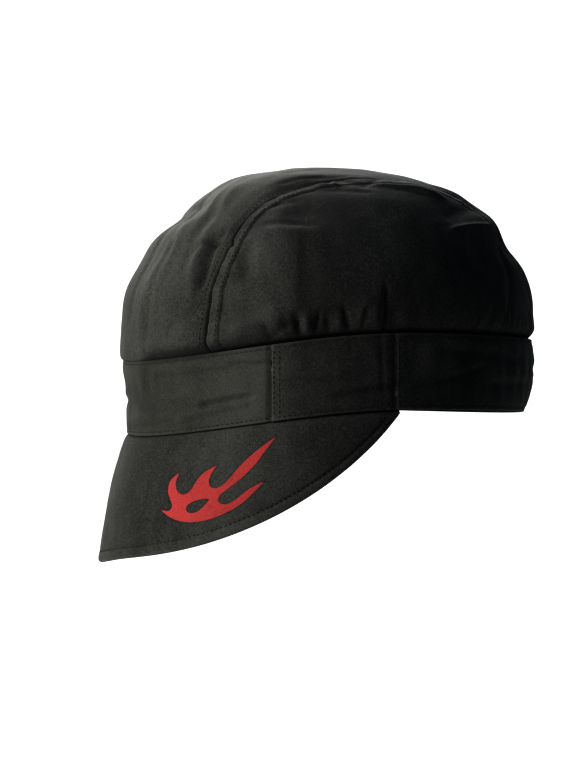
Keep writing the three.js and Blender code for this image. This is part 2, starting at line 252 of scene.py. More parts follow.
# Finer creases: from one direction to another in degrees, and in millimetres how far each spreads
# to either side of its way, and its height
CREASES = [
    ("side crease", 80.6, 15, 80.2, 1, 0.9, 1.5, -1.9),
    ("side crease lip", 77.4, 9, 77.6, 0, 2.2, 1.6, 0.9),
    ("temple cross crease", 44, 36.5, 56, 36, 1.5, 2.4, -0.9),
    ("temple dent", 37.5, 27.5, 38.5, 22.5, 4.0, 4.0, -1.8),
    ("temple low hollow", 34, 13.5, 44, 12, 3.4, 3.4, -0.9),
    ("temple foot swell", 34, 8.5, 46, 8, 3.2, 3.2, 0.8),
    ("dark pucker", 53.8, 8, 54.3, 4, 1.7, 1.7, -2.4),
    ("foot streak", 45.5, 4.5, 50.5, 7, 1.2, 1.8, -1.5),
    ("foot streak fold", 38, 8.5, 47, 8.5, 2.0, 2.4, 0.8),
    ("slanting pucker 1", 57.8, 2, 59.6, 9, 1.0, 1.5, -1.3),
    ("slanting pucker 2", 69.4, 3, 67.6, 10, 1.2, 1.6, -1.3),
    ("slanting pucker 3", 72.4, 2, 74, 9, 1.1, 1.6, -1.0),
    ("bright pucker", 56.6, 8, 57.2, 3.5, 2.0, 1.8, 1.2),
    ("band pucker 1", 45.5, 6.5, 46, 3, 1.9, 2.2, -1.3),
    ("band pucker 2", 49, 8, 50, 4, 2.2, 1.8, 0.9),
    ("band pucker 3", 62.5, 8, 63, 3.5, 1.8, 2.0, -1.2),
    ("band pucker 4", 66, 7, 66.5, 4, 2.4, 2.0, 0.9),
    ("seam hollow core", 23.4, 31.5, 24.2, 21.5, 1.6, 3.2, -2.6),
    ("seam hollow brim", 19.6, 31, 21, 21, 4, 2.2, 1.1),
    ("seam notch", 22.5, 32.6, 30, 31.8, 1.1, 2.0, -2.0),
    ("seam arch", 19, 31, 24, 34.5, 2.2, 3.0, -1.2),
    ("brow low crease", 17, 10, 26, 15, 2.2, 3.2, -0.7),
    ("front fold 1", 7, 8, 6.5, 30, 1.8, 2.2, -0.4),
    ("front fold 1 top", 6.5, 30, -2, 46, 2.0, 2.4, -0.4),
    ("front fold 1 side", 9.8, 10, 9, 32, 2.6, 2.6, 0.35),
    ("front fold 2", 16.5, 25, 11, 47, 2.0, 2.6, -0.55),
    ("front fold 2 side", 19.5, 27, 15, 50, 2.4, 2.4, 0.5),
    ("front fold 3", -3, 14, -6, 44, 2.8, 3.2, -0.45),
    ("front fold 4", 12, 33, 4, 60, 2.2, 2.8, 0.45),
    ("front fold 5", 0, 42, -10, 62, 2.6, 3.0, -0.5),
    ("brow crease", -26, 41, 2, 46, 2.4, 3.0, -0.5),
    ("brow fill", -26, 33, 4, 37, 11, 11, 1.7),
    ("top fill", -30, 58, -12, 64, 12, 12, 1.0),
    ("back ridge hollow", 112, 38.5, 146, 41, 4, 4, -0.9),
    ("back under ridge", 118, 31, 146, 32.5, 3.4, 3.4, -0.8),
    ("back top fill", 112, 52, 142, 50, 9, 9, 1.0),
    ("back long crease", 128, 12, 136, 28, 2.6, 3.2, -0.7),
    ("nape crease", 140, 10, 152, 6, 2.2, 3.0, -0.7),
    ("top seam wrinkle 1", 44, 54.5, 60, 57.5, 0.9, 1.5, -0.9),
    ("top seam wrinkle 1b", 40, 57, 58, 61, 0.9, 1.4, -0.8),
    ("top seam wrinkle 2", 60, 55.5, 70, 55, 1.0, 1.8, 0.6),
    ("top seam wrinkle 3", 72, 58, 80, 54.5, 1.4, 2.0, -0.45),
    ("top seam wrinkle 4", 84, 55, 92, 58, 1.8, 1.6, -0.4),
    ("top seam wrinkle 5", 89, 54.5, 103, 53, 1.2, 2.0, 0.8),
    ("top seam wrinkle 6", 98, 51, 108, 48, 1.4, 2.0, -0.4),
    ("top seam wrinkle 7", 108, 52, 118, 48, 1.2, 1.8, 0.6),
    ("top seam wrinkle 8", 66, 51.5, 80, 50, 1.6, 2.4, -0.5),
    ("top cross crease", 30, 66, 70, 76, 2.2, 2.2, -0.4),
    ("temple high crease", 36, 44, 48, 46, 1.6, 2.4, -0.5),
    ("far temple crease", -50, 14, -56, 40, 2.2, 4.0, -0.9),
    ("far temple ridge", -57, 12, -61, 38, 3.0, 9.0, 1.0),
    ("far side crease", -84, 16, -80, 1, 1.8, 2.8, -1.2),
    ("far back crease", -118, 12, -132, 34, 2.4, 3.8, -1.0),
    ("far top crease", -60, 54, -100, 50, 2.0, 2.6, -0.7),
    ("far back ridge", -112, 38, -150, 34, 2.6, 2.2, 1.0),
    ("far seam hollow", -24, 26, -25, 16, 5, 5, -1.2),
    ("nape side crease", 168, 8, 172, 34, 2.4, 3.4, -0.8),
    ("nape top crease", 150, 52, -164, 50, 2.4, 3.0, -0.6),
]

# Ridges with a sharp crest, in the same columns as the creases
RIDGES = [
    ("temple ridge", 54.2, 12.5, 53, 32.5, 15, 10, 3.8),
    ("back bright ridge", 112, 34.2, 137, 34.8, 1.2, 3.2, 1.9),
    ("far side ridge", -72, 12, -66, 36, 12, 14, 2.2),
]

# Patches of painted light, or of painted shade where the amount is below zero: degrees round and
# up, spread in millimetres and amount
PAINTED_LIGHT_PATCHES = [
    ("temple", 47, 27, 8, 0.25),
    ("front of the top", 4, 50, 25, 1.5),
    ("behind the temple", 62, 27, 15, -0.35),
    ("behind the temple, high", 66, 42, 22, -0.3),
    ("far temple", -45, 26, 15, 0.2),
    ("top", -40, 79, 24, 1.1),
    ("brow, to the left", 16, 31, 17, 0.5),
    ("beside the seam, high", 35, 40, 12, -0.9),
    ("beside the seam, low", 33.5, 23, 8, -0.5),
]

# Creases in the band: degrees and share of its height from one end to the other, then millimetres
BAND_CREASES = [
    ("forehead long crease", -10, 0.12, 18, 0.2, 1.9, -0.9),
    ("forehead second crease", 4, 0.36, 26, 0.42, 2.2, -0.8),
    ("temple long crease", 31, 0.35, 44, 0.37, 1.5, -1.25),
    ("temple faint crease", 10, 0.29, 31, 0.345, 1.7, -0.5),
    ("temple lower crease", 24, 0.17, 44, 0.24, 1.8, -0.7),
    ("temple upper crease", 12, 0.8, 46, 0.76, 1.6, -0.7),
    ("band end crease", 41, 0.83, 50.5, 0.77, 1.2, -0.9),
    ("band end dent", 45, 0.68, 50.5, 0.64, 1.5, -0.6),
    ("brow roll", -62, 0.98, 3, 0.95, 7.5, 1.9),
    ("far forehead crease", -44, 0.36, -14, 0.48, 2.2, -1.0),
    ("far temple crease", -40, 0.72, -22, 0.66, 2.2, -0.8),
    ("side band crease", 58, 0.5, 74, 0.42, 2.6, -0.6),
    ("ear crease", 81, 0.98, 81.8, 0.3, 1.0, -0.45),
    ("ear foot crease", 70, 0.24, 84, 0.3, 1.8, -0.8),
    ("far ear crease", -82, 0.9, -80, 0.2, 1.6, -1.0),
    ("back crease 1", 92, 0.3, 112, 0.55, 2.2, -0.8),
    ("back crease 2", 100, 0.8, 130, 0.7, 2.4, -0.8),
    ("back crease 3", 118, 0.35, 150, 0.42, 2.6, -0.8),
    ("back crease 4", 150, 0.6, 196, 0.5, 2.6, -0.8),
    ("back crease 5", 204, 0.35, 240, 0.55, 2.4, -0.8),
    ("back crease 6", 236, 0.75, 266, 0.6, 2.2, -0.8),
]

# Where each thing's noise starts from
CRUMPLE_SEED = 7
GATHER_SEED = 51
SEAM_SEED = 40
BAND_SEED = 3
PEAK_SEED = 31
STITCH_SEED = 11

# The crown is seen from a point this far below its foot, and its distance from there is found in
# this many halvings; points on a seam and on the peak's rim that places are measured against, and
# a seam's length as an angle
CENTRE_BELOW_BAND = 5 * MM
BISECTIONS = 34
SEAM_SAMPLES = 321
ARC_SAMPLES = 721
SEAM_TURN = 3.0

# The crown's seams: a dip all along each, a wider valley from the brow to the top and its share on
# the far side, how far the centre panel runs on under the side panel, and where its stitches are
SEAM_DIP = 1.2 * MM
SEAM_DIP_REACH = 7 * MM
SEAM_VALLEY = 1.4 * MM
FAR_VALLEY = 0.4
SEAM_VALLEY_REACH = 15 * MM
SEAM_LAP = 4.0 * MM
CENTRE_STITCHES = 4.2 * MM

# The crown's foot: how uneven the gathers are, how far the brow rolls down over the band, how far
# the cloth puffs out over it in front and at the back, and the rows that are tucked in behind it
GATHER_UNEVENNESS = 0.35
ROLL = 3.8 * MM
PUFF_IN_FRONT = 1.6 * MM
PUFF_AT_BACK = 1.0 * MM
TUCK_ROWS = 3

# The droop of the peak's edge on the far side: how far, where and how wide
DROOP = 7.6 * MM
DROOP_TURN = -30 * DEG
DROOP_SPREAD = 26 * DEG

# The band: its ripples round the head over the elastic, its stitches from either edge
# and the two rows beside an upright end, how far its side and back stretches stand out from the
# front one, and how far one stretch runs on under the next, as an angle
RIPPLES = 46
BAND_STITCHES = 1.7 * MM
END_STITCHES = (1.5 * MM, 4.2 * MM)
SIDE_PROUD = 0.5 * MM
BACK_PROUD = 0.75 * MM
UNDERLAP = 0.05

# Flat sizes of the crown's panels, for their mesh and their threads
CENTRE_WIDTH, CENTRE_RUN = 100 * MM, 262 * MM
SIDE_FOOT, SIDE_RISE = 205 * MM, 112 * MM

# Angles of the points round a folded edge, from the outer face to the inner one
FOLD = np.linspace(0, math.pi, 7)[1:-1]


def crown_base(size):
    """Height of the crown's foot, a small gap above the band."""
    return size.band_height + size.sewn_gap


def head_centre(size):
    """The point that the crown is seen from."""
    return np.array([0.0, 0.0, crown_base(size) - CENTRE_BELOW_BAND])


def crown_section(size, way):
    """Height, half width, front and back of the section at a share of the way up the table, on a
    smooth curve through its rows. Past the last row the curve runs on into its mirror image."""
    last = len(SECTIONS) - 1
    rows = np.vstack([2 * SECTIONS[0] - SECTIONS[1], SECTIONS, SECTIONS[-2] * [1, -1, -1, -1]])
    place = np.clip(way, 0, 1) * last
    row = np.minimum(place.astype(int), last - 1)
    part = (place - row)[..., None]
    shares = between(*(rows[row + step] for step in range(4)), part)
    reaches = np.maximum(shares[..., 1:], 1e-6)
    return (crown_base(size) + shares[..., 0] * size.crown_rise,
            reaches[..., 0] * size.band_half_width,
            reaches[..., 1] * size.band_front_reach,
            reaches[..., 2] * size.band_back_reach)


def oval_point(size, turn, half_width, front, back, height):
    """Point of a horizontal oval: across is half_width times sine, less at the forehead, and ahead
    is the front or back reach times cosine."""
    ahead = np.cos(turn)
    x = half_width * np.sin(turn) * (1 - size.head_taper * ahead)
    y = -np.where(ahead > 0, front, back) * ahead
    return np.stack(np.broadcast_arrays(x, y, height), -1)


def crown_distance(size, direction):
    """Distance from the head's centre to the bare crown, by halving the way up the sections until
    the direction meets the oval of that height."""
    low = np.zeros(direction.shape[:-1])
    high = np.ones(direction.shape[:-1])
    centre = head_centre(size)
    rise = np.maximum(direction[..., 2], 1e-9)
    for _ in range(BISECTIONS):
        middle = (low + high) / 2
        height, half_width, front, back = crown_section(size, middle)
        distance = (height - centre[2]) / rise
        ahead = -distance * direction[..., 1] / np.where(direction[..., 1] < 0, front, back)
        aside = distance * direction[..., 0] / (half_width * (1 - size.head_taper * ahead))
        outside = aside ** 2 + ahead ** 2 > 1
        high = np.where(outside, middle, high)
        low = np.where(outside, low, middle)
    return (crown_section(size, (low + high) / 2)[0] - centre[2]) / rise


def turn_of(size, points):
    """Angle round the head, 0 at the front and positive to the wearer's left."""
    return np.arctan2(points[..., 0] / size.band_half_width,
                      -points[..., 1] / size.band_front_reach)


def rim_raise(size, turn):
    """How far the rim is raised: a little at the ears, and below zero at forehead and nape."""
    ahead = np.cos(turn)
    dip = size.forehead_dip * np.maximum(ahead, 0) ** 1.8
    dip = dip + size.nape_dip * np.maximum(-ahead, 0) ** 2
    return size.ear_rise * np.sin(turn) ** 2 - dip


def raised(size, points):
    """The points raised with the rim. The raise fades out up the crown."""
    up = np.clip((points[..., 2] - size.band_height) / size.crown_rise, 0, 1)
    lifted = points.copy()
    lifted[..., 2] += rim_raise(size, turn_of(size, points)) * (1 - up ** 1.2)
    return lifted


def towards(turn, up):
    """Direction from degrees round from the front and degrees up."""
    level = math.cos(up * DEG)
    return np.array([math.sin(turn * DEG) * level, -math.cos(turn * DEG) * level,
                     math.sin(up * DEG)])


def crease_places(direction, distance, row):
    """Distance aside from the great circle through a crease's two ends, and beyond its ends."""
    start, end = towards(row[1], row[2]), towards(row[3], row[4])
    across = normalised(np.cross(start, end))
    along = np.cross(across, start)
    aside = np.arcsin(np.clip(direction @ across, -1, 1)) * distance
    place = np.arctan2(direction @ along, direction @ start)
    length_round = math.acos(float(np.clip(start @ end, -1, 1)))
    beyond = np.maximum(np.maximum(-place, place - length_round), 0) * distance
    return aside, beyond


def crown_folds(size, direction, distance):
    """Height of the main folds, each a bell across its course, of the finer creases, each a bell
    with its own spread on either side, and of the ridges, which fall away on both sides by an
    exponential."""
    height = np.zeros(distance.shape)
    for row in FOLDS:
        aside, beyond = crease_places(direction, distance, row)
        reach = row[5] * size.crown_rise
        height += row[6] * size.crown_rise * bell(aside / reach) * bell(beyond / (1.5 * reach))
    for row in CREASES:
        aside, beyond = crease_places(direction, distance, row)
        reach = np.where(aside > 0, row[5], row[6]) * MM
        height += row[7] * MM * bell(aside / reach) * bell(beyond / (2.5 * MM + 0.5 * reach))
    for row in RIDGES:
        aside, beyond = crease_places(direction, distance, row)
        across = aside / (np.where(aside > 0, row[5], row[6]) * MM)
        crest = np.exp(0.12 - np.sqrt(across ** 2 + 0.0144))
        height += row[7] * MM * crest * bell(beyond / (7 * MM))
    return height


def gather_swell(size, turn, above):
    """Gathers over the band: rounded swells between narrow valleys, which are where a noise round
    the band changes sign; uneven in height and dying out upwards."""
    around = turn * size.band_front_reach
    lean = around + 0.25 * above * np.sin(6 * turn)
    row = np.stack([lean, 0.16 * above, 0 * above], -1)
    wave = np.minimum(np.abs(noise(row, 5.2 * MM, GATHER_SEED)) * 2.6, 1) ** 0.75
    wave = wave + 0.5 * np.minimum(np.abs(noise(row, 3.1 * MM, GATHER_SEED + 1)) * 2.6, 1) - 0.95
    wave = wave * (0.65 + 0.55 * noise(row, 21 * MM, GATHER_SEED + 3))
    uneven = 1 - GATHER_UNEVENNESS * (1 + np.sin(5 * turn)) * 0.5
    full = 0.12 + 0.88 * smooth(np.abs(turn), size.gather_begin, size.gather_full)
    flat = np.stack([around, 0 * above, 0 * above], -1)
    reach = size.gather_height * (0.8 + 0.4 * noise(flat, 13 * MM, GATHER_SEED + 2))
    rise = (1 - 0.75 * bell(2.5 * above / size.gather_height)) * bell(above / reach)
    return size.gather_depth * wave * uneven * full * rise


def painted_front_light(turn):
    """Painted light, in the same units as the scuffing value: how much paler the front is painted
    than the sides, with the most at the temples.
    """
    temple = bell((np.abs(turn) - 45 * DEG) / (10 * DEG))
    return 0.25 * (1 - sideways(turn, 30, 60)) + 0.95 * temple


def under_overhang(turn):
    """Where the crown hangs over the band's edge and shades it, from the brow to the temple."""
    return smooth(turn, 4 * DEG, 12 * DEG) * (1 - smooth(turn, 28 * DEG, 42 * DEG))


def painted_light_patches(direction, distance):
    """Painted light of the pale patches, and painted shade of the others, each a bell round its
    middle.
    """
    wear = np.zeros(distance.shape)
    for _, turn, up, spread, amount in PAINTED_LIGHT_PATCHES:
        away = np.arccos(np.clip(direction @ towards(turn, up), -1, 1)) * distance
        wear += amount * bell(away / (spread * MM))
    return wear


def crown_foot(size, turn):
    """Direction of the crown's foot at an angle round the head."""
    height, half_width, front, back = crown_section(size, np.zeros(np.shape(turn)))
    point = oval_point(size, turn, half_width, front, back, height)
    return normalised(point - head_centre(size))


def seam_direction(size, way, side, inset=0.0):
    """Direction of a crown seam at a share of its way from the forehead over the top to the nape.
    Inset moves it away from the middle, in metres."""
    way = np.asarray(way, float)
    front = crown_foot(size, np.array(size.seam_front))
    back = crown_foot(size, np.array(size.seam_back))
    start = math.atan2(front[2], -front[1])
    tilt = start + (math.pi - math.atan2(back[2], back[1]) - start) * way
    first = front[0] / math.hypot(front[1], front[2])
    final = back[0] / math.hypot(back[1], back[2])
    aside = first + (final - first) * way + inset / size.band_front_reach
    ends = np.minimum(np.minimum(way, 1 - way) * 10, 1)
    for _, place, spread, stray in SEAM_STRAYS:
        aside = aside + stray * bell((way - place) / spread) * ends
    return normalised(np.stack([side * aside, -np.cos(tilt), np.sin(tilt)], -1))


def seam_distance(size, direction, distance, side):
    """Distance over the crown to the nearest point of a seam, positive on the side panel's side,
    and that point's place along the seam."""
    ways = np.linspace(0, 1, SEAM_SAMPLES)
    seam = seam_direction(size, ways, side)
    tangent = normalised(np.gradient(seam, axis=0))
    flat = direction.reshape(-1, 3)
    near = np.argmax(flat @ seam.T, axis=1)
    along = (flat * tangent[near]).sum(-1)
    outwards = side * np.cross(tangent, seam)
    aside = (flat * outwards[near]).sum(-1).reshape(distance.shape)
    place = (ways[near] * SEAM_TURN + along).reshape(distance.shape)
    return aside * distance, place * distance


def fell_relief(size, away, place, seed):
    """Relief of a felled seam on its lapped side: a folded edge, a flat strip that is a little
    higher, a groove under the topstitching, and small puckers across it all."""
    edge = 0.85 * MM * (1 - 1.5 * bell(away / (0.55 * MM)))
    strip = edge * (1 - smooth(away, size.fell_width - 0.8 * MM, size.fell_width + 1.0 * MM))
    groove = -0.55 * MM * bell((away - size.fell_width) / (0.7 * MM))
    row = np.stack([place, 0 * place, 0 * place + seed], -1)
    pucker = 0.42 * MM * noise(row, 4.2 * MM, seed) + 0.28 * MM * noise(row, 1.9 * MM, seed + 1)
    return strip + groove + pucker * bell((away - 0.8 * size.fell_width) / (0.8 * size.fell_width))


def under_relief(away, place, above, flattened, seed):
    """Relief of the centre panel beside a seam: it dives under the side panel and comes up again
    behind its edge, with a stitched groove and soft pleats that run beside the seam."""
    dive = smooth(away, -1.5 * MM, -0.1 * MM) - 0.55 * smooth(away, 0.8 * MM, 2.6 * MM)
    foot = np.maximum(smooth(above, 0, 2 * MM), smooth(away, -0.5 * MM, 0.3 * MM))
    edge = -1.8 * MM * dive * foot * (1 - 0.35 * flattened)
    near = -0.4 * MM * bell(away / (2.2 * MM))
    near -= 0.3 * MM * bell((away + CENTRE_STITCHES) / (0.7 * MM))
    row = np.stack([place, 0 * place, 0 * place + seed], -1)
    pucker = 0.3 * MM * noise(row, 5 * MM, seed) + 0.15 * MM * noise(row, 2.2 * MM, seed + 1)
    soft = near + pucker * bell((away + 3 * MM) / (5 * MM))
    return edge + soft * smooth(above, 0, 2 * MM) * (1 - 0.5 * flattened)


def crumple(points, seed):
    """Soft unevenness of worn cloth: slow swells, and ridges where a noise changes sign, let
    through in patches by a slower noise."""
    bent = points + 5 * MM * np.stack([noise(points, 22 * MM, seed + k) for k in (1, 2, 3)], -1)
    swell = 0.85 * noise(bent, 34 * MM, seed) + 0.3 * noise(bent, 15 * MM, seed + 4)
    ridge = 1 - np.minimum(np.abs(noise(bent, 24 * MM, seed + 5)) * 3.0, 1)
    patch = smooth(noise(points, 45 * MM, seed + 6), 0.0, 0.8)
    fine = 0.1 * noise(points, 6 * MM, seed + 7) + 0.04 * noise(points, 2.6 * MM, seed + 8)
    return (swell + 0.35 * ridge ** 2 * patch + fine) * MM


def puffed_and_drawn_in(height, turn, above, brow, shaded):
    """The crown's relief with its foot's shape: the cloth puffs out over the band in front and at
    the back, and its last few millimetres are drawn in behind the band, less at the sides and
    least at the back."""
    puff = (PUFF_IN_FRONT * (1 - 0.45 * brow) * (1 - sideways(turn, 30, 48))
            + PUFF_AT_BACK * sideways(turn, 110, 145))
    drawn_in = 3.0 * MM - 1.2 * MM * sideways(turn, 56, 84)
    drawn_in -= 1.1 * MM * sideways(turn, 122, 148)
    height = height + puff * bell((above - 4.4 * MM) / (4.6 * MM))
    return height - drawn_in * np.exp(-above / ((1.3 + 0.9 * shaded) * MM))


def crown_surface(size, direction, panel):
    """Points of the crown's outer face in given directions: the bare crown plus folds, gathers,
    seams and crumples, shaped at its foot and rolled down over the band at the brow. Panel is 0
    for the centre one and 1 or -1 for a side one. Also gives a value for the colour, higher where
    the cloth stands out: paler on scuffed seam edges and in painted light on the front and in
    patches, and lowered as painted shade in hollows, beside the band and beside the seams."""
    direction = normalised(direction)
    distance = crown_distance(size, direction)
    centre = head_centre(size)
    bare = centre + direction * distance[..., None]
    above = np.maximum(bare[..., 2] - crown_base(size), 0)
    sewn = bell(above / SEAM_DIP_REACH)
    turn = turn_of(size, bare - centre)
    height = crown_folds(size, direction, distance) * smooth(above, 0, 5 * MM)
    gathers = gather_swell(size, turn, above)
    height += gathers
    # Painted light: the patches, and the crown's front painted paler than its sides.
    wear = painted_light_patches(direction, distance) + 0.4 * (1 - sideways(turn, 36, 56))
    # Painted shade: a darker line on the crown's foot where it meets the band, deepest under the
    # overhang from brow to temple, less under the brow's roll and at the sides.
    brow = (1 - smooth(turn, 2 * DEG, 12 * DEG)) * smooth(turn, -62 * DEG, -50 * DEG)
    shaded = under_overhang(turn)
    foot_shade = 1.3 - brow + 1.2 * shaded - 0.8 * sideways(turn, 50, 75)
    wear -= foot_shade * bell(above / ((1.4 + 1.2 * shaded) * MM))
    # Crests of the gathers and folds are painted paler, partly for scuffing, and their hollows
    # darker as painted shade.
    wear += np.clip(gathers / MM, -1, 1) * 0.3 + np.clip(height / (2.5 * MM), -1, 1) * 0.25
    calm = np.ones(distance.shape)
    bearing = np.arctan2(bare[..., 2] - centre[2], -bare[..., 1])
    flattened = smooth(bearing, 1.15, 1.6)
    valley = smooth(bearing, 0.1, 0.5) * (1 - smooth(bearing, 1.1, 1.7))
    for side, depth in ((1, SEAM_VALLEY), (-1, FAR_VALLEY * SEAM_VALLEY)):
        away, place = seam_distance(size, direction, distance, side)
        height -= SEAM_DIP * bell(away / SEAM_DIP_REACH) * (1 - sewn)
        height -= depth * bell(away / SEAM_VALLEY_REACH) * valley * (1 - sewn)
        relief = np.zeros(distance.shape)
        if panel == side:
            relief = fell_relief(size, away, place, SEAM_SEED + side) * smooth(above, 0, 2 * MM)
            relief *= 1 - 0.6 * flattened
            # The folded edge is painted paler, partly for scuffing and partly as a painted
            # highlight where it faces the light; the strip beside it is a little darker.
            rubbed_and_lit = 0.9 * bell((away - 0.5 * MM) / (0.5 * MM)) * (1 - flattened)
            wear += rubbed_and_lit - 0.12 * bell(away / size.fell_width)
        elif panel == 0:
            relief = under_relief(away, place, above, flattened, SEAM_SEED + side)
            # Painted shade in the crevice where the centre panel dives under the side panel.
            wear -= 1.8 * bell(away / (0.8 * MM)) * (1 - 0.6 * flattened)
        height += relief
        # The seam's raised parts are painted paler, partly for scuffing, and its sunken parts
        # darker as painted shade.
        wear += np.clip(relief / MM, -1, 1) * 0.3
        calm *= 1 - 0.7 * bell(away / (6 * MM))
    soft = crumple(bare, CRUMPLE_SEED) * (1 - sewn) * calm
    height += soft
    # Crumples too: paler crests, partly for scuffing, and painted shade in their hollows.
    wear += np.clip(soft / MM, -1, 1) * 0.12
    height = puffed_and_drawn_in(height, turn, above, brow, shaded)
    rolled = ROLL * brow + 0.3 * MM * shaded
    points = centre + direction * (distance + height)[..., None]
    points[..., 2] -= rolled * bell((above - 4.2 * MM) / (3.4 * MM))
    return raised(size, points), wear


def centre_directions(size, along, across):
    """Directions of the centre panel: chords from a little beyond one seam to beyond the other,
    that bend to the oval of the crown's foot near the forehead and the nape."""
    end_share = 0.25

    def chord(way):
        right = seam_direction(size, way, -1, SEAM_LAP)
        left = seam_direction(size, way, 1, SEAM_LAP)
        return right * (1 - across[..., None]) + left * across[..., None]

    side = 2 * across - 1
    forehead = crown_foot(size, side * (size.seam_front + SEAM_LAP / size.band_front_reach))
    nape_turn = math.pi - size.seam_back + SEAM_LAP / size.band_back_reach
    nape = crown_foot(size, math.pi - side * nape_turn)
    near_front = np.maximum(1 - along / end_share, 0)[..., None] ** 2
    near_back = np.maximum(1 - (1 - along) / end_share, 0)[..., None] ** 2
    return (chord(along) + (forehead - chord(0 * along)) * near_front
            + (nape - chord(0 * along + 1)) * near_back)


def side_directions(size, along, across, side):
    """Directions of a side panel, from the crown's foot up to the seam."""
    turn = size.seam_front + (size.seam_back - size.seam_front) * along
    foot = crown_foot(size, side * turn)
    seam = seam_direction(size, along, side, size.sewn_gap / 2)
    return foot * (1 - across[..., None]) + seam * across[..., None]


def tucked(size, points, foot_first):
    """A panel's grid with a few more rows before its first or after its last, which run down
    behind the band and lean out towards it, most over the temples."""
    foot = points[:, :1] if foot_first else points[:, -1:]
    inward = foot * [-1, -1, 0] / np.linalg.norm(foot[..., :2], axis=-1)[..., None]
    turn = turn_of(size, foot)[..., None]
    lean = (0.13 + 0.3 * np.sin(turn) ** 2) * (1 - 0.45 * sideways(turn, 56, 84))
    depths = np.linspace(size.crown_tuck, 0, TUCK_ROWS + 1)[:-1]
    rows = [foot - inward * depth * lean - np.array([0, 0, depth]) for depth in depths]
    if foot_first:
        return np.concatenate(rows + [points], axis=1)
    return np.concatenate([points] + rows[::-1], axis=1)


def band_relief(size, turn, rise):
    """Relief of the band: stitched grooves near both edges, creases, ripples where elastic draws
    it in, and the cloth's own unevenness."""
    up = rise / size.band_height
    around = turn * size.band_front_reach
    height = -0.3 * MM * (bell((rise - BAND_STITCHES) / (0.7 * MM))
                          + bell((size.band_height - rise - BAND_STITCHES) / (0.7 * MM)))
    for _, turn1, up1, turn2, up2, spread, depth in BAND_CREASES:
        start = np.array([turn1 * DEG * size.band_front_reach, up1 * size.band_height])
        end = np.array([turn2 * DEG * size.band_front_reach, up2 * size.band_height])
        reach = np.linalg.norm(end - start)
        way = (end - start) / reach
        dx, dz = around - start[0], rise - start[1]
        place = dx * way[0] + dz * way[1]
        across = (dz * way[0] - dx * way[1]) / (spread * MM)
        beyond = np.maximum(np.maximum(-place, place - reach), 0)
        crease = bell(across) - 0.45 * across * bell(across / 1.5)
        height += depth * MM * crease * bell(beyond / (4 * MM))
    flat = np.stack([around, rise, 0 * rise], -1)
    middle = np.sin(math.pi * np.clip(up, 0, 1))
    uneven = 0.35 * noise(flat, 17 * MM, BAND_SEED) + 0.16 * noise(flat, 6 * MM, BAND_SEED + 1)
    height += uneven * MM * middle
    nape = smooth(-np.cos(turn), -0.05, 0.25)
    height += 1.5 * MM * middle * smooth(-np.cos(turn), 0.3, 0.7)
    ripple = 0.55 * np.sin(RIPPLES * turn + 1.3 * np.sin(5 * turn))
    ripple = ripple + 0.5 * noise(flat * [1, 0.22, 1], 4 * MM, BAND_SEED + 2)
    return height + 0.42 * MM * ripple * nape * (0.35 + 0.65 * middle)


def band_point(size, turn, rise, proud):
    """Point of the band's outer face at an angle and a height: the rim's oval, drawn in at the
    nape, raised with the rim, with the band's relief; proud lifts it off. Also gives outward."""
    nape = np.maximum(-np.cos(turn), 0)
    up = np.clip(rise / size.band_height, 0, 1)
    back = size.band_back_reach - size.nape_draw_in * nape * (1 - up) ** 3
    point = oval_point(size, turn, size.band_half_width, size.band_front_reach, back, rise)
    outward = normalised(np.stack([point[..., 0] / size.band_half_width ** 2,
                                   point[..., 1] / back ** 2, 0 * up], -1))
    lift = rim_raise(size, turn_of(size, point))
    point = point + outward * (band_relief(size, turn, rise) + proud)[..., None]
    point[..., 2] += lift
    return point, outward


def peak_reach(size, turn):
    """The peak's length at an angle: full at the middle and rounded off towards its tips. The soft
    edge droops a little on the far side."""
    part = np.minimum(np.abs(turn) / size.peak_end, 1) ** size.peak_squareness
    droop = DROOP * bell((turn - DROOP_TURN) / DROOP_SPREAD) * (1 - part)
    return size.peak_length + droop + (size.peak_tip_length - size.peak_length) * part


def peak_point(size, turn, down, depth):
    """Point of the peak at an angle, a distance down from the rim and a depth below its outer
    face: out from the rim's oval with the flare, a belly and soft waves, and tucked in behind the
    band at its root. Down may be a little below zero, behind the band."""
    reach = peak_reach(size, turn)
    part = np.clip(down / reach, 0, 1)
    base = oval_point(size, turn, size.band_half_width, size.band_front_reach,
                      size.band_back_reach, 0 * turn - size.sewn_gap)
    normal = normalised(base * [1 / size.band_half_width ** 2, 1 / size.band_front_reach ** 2, 0])
    base = raised(size, base)
    belly = size.peak_belly * reach / size.peak_length * np.sin(math.pi * part ** 0.8)
    flat = np.stack([turn * size.band_front_reach, down, 0 * down], -1)
    waves = 0.5 * noise(flat, 30 * MM, PEAK_SEED) + 0.22 * noise(flat, 11 * MM, PEAK_SEED + 1)
    waves += 0.05 * noise(flat, 4 * MM, PEAK_SEED + 2)
    hem = np.maximum(reach - down, 0)
    loose = smooth(down, 0, 12 * MM) * MM
    groove = -0.3 * MM * bell((hem - size.hem_inset) / (0.8 * MM))
    puff = 0.25 * MM * bell((hem - 0.45 * size.hem_inset) / (0.4 * size.hem_inset))
    tuck_in = 1.45 * MM * np.exp(-np.maximum(down, 0) / (1.2 * MM))
    off = belly + waves * loose + (groove + puff) * smooth(reach, 6 * MM, 14 * MM) - tuck_in
    out = np.maximum(down, 0) * math.sin(size.peak_flare) + off
    outward = normal * math.cos(size.peak_flare) + np.array([0, 0, math.sin(size.peak_flare)])
    point = base + normal * out[..., None] - outward * np.asarray(depth)[..., None]
    point[..., 2] -= down * np.where(down > 0, math.cos(size.peak_flare), 1)
    return point


def peak_arc(size):
    """Angles across the peak, and how far each is from the middle along the rim."""
    turn = np.linspace(-size.peak_end, size.peak_end, ARC_SAMPLES)
    rim = oval_point(size, turn, size.band_half_width, size.band_front_reach,
                     size.band_back_reach, 0 * turn)
    arc = distance_along(rim)
    return turn, arc - arc[-1] / 2


# ---------------------------------------------------------------- meshes


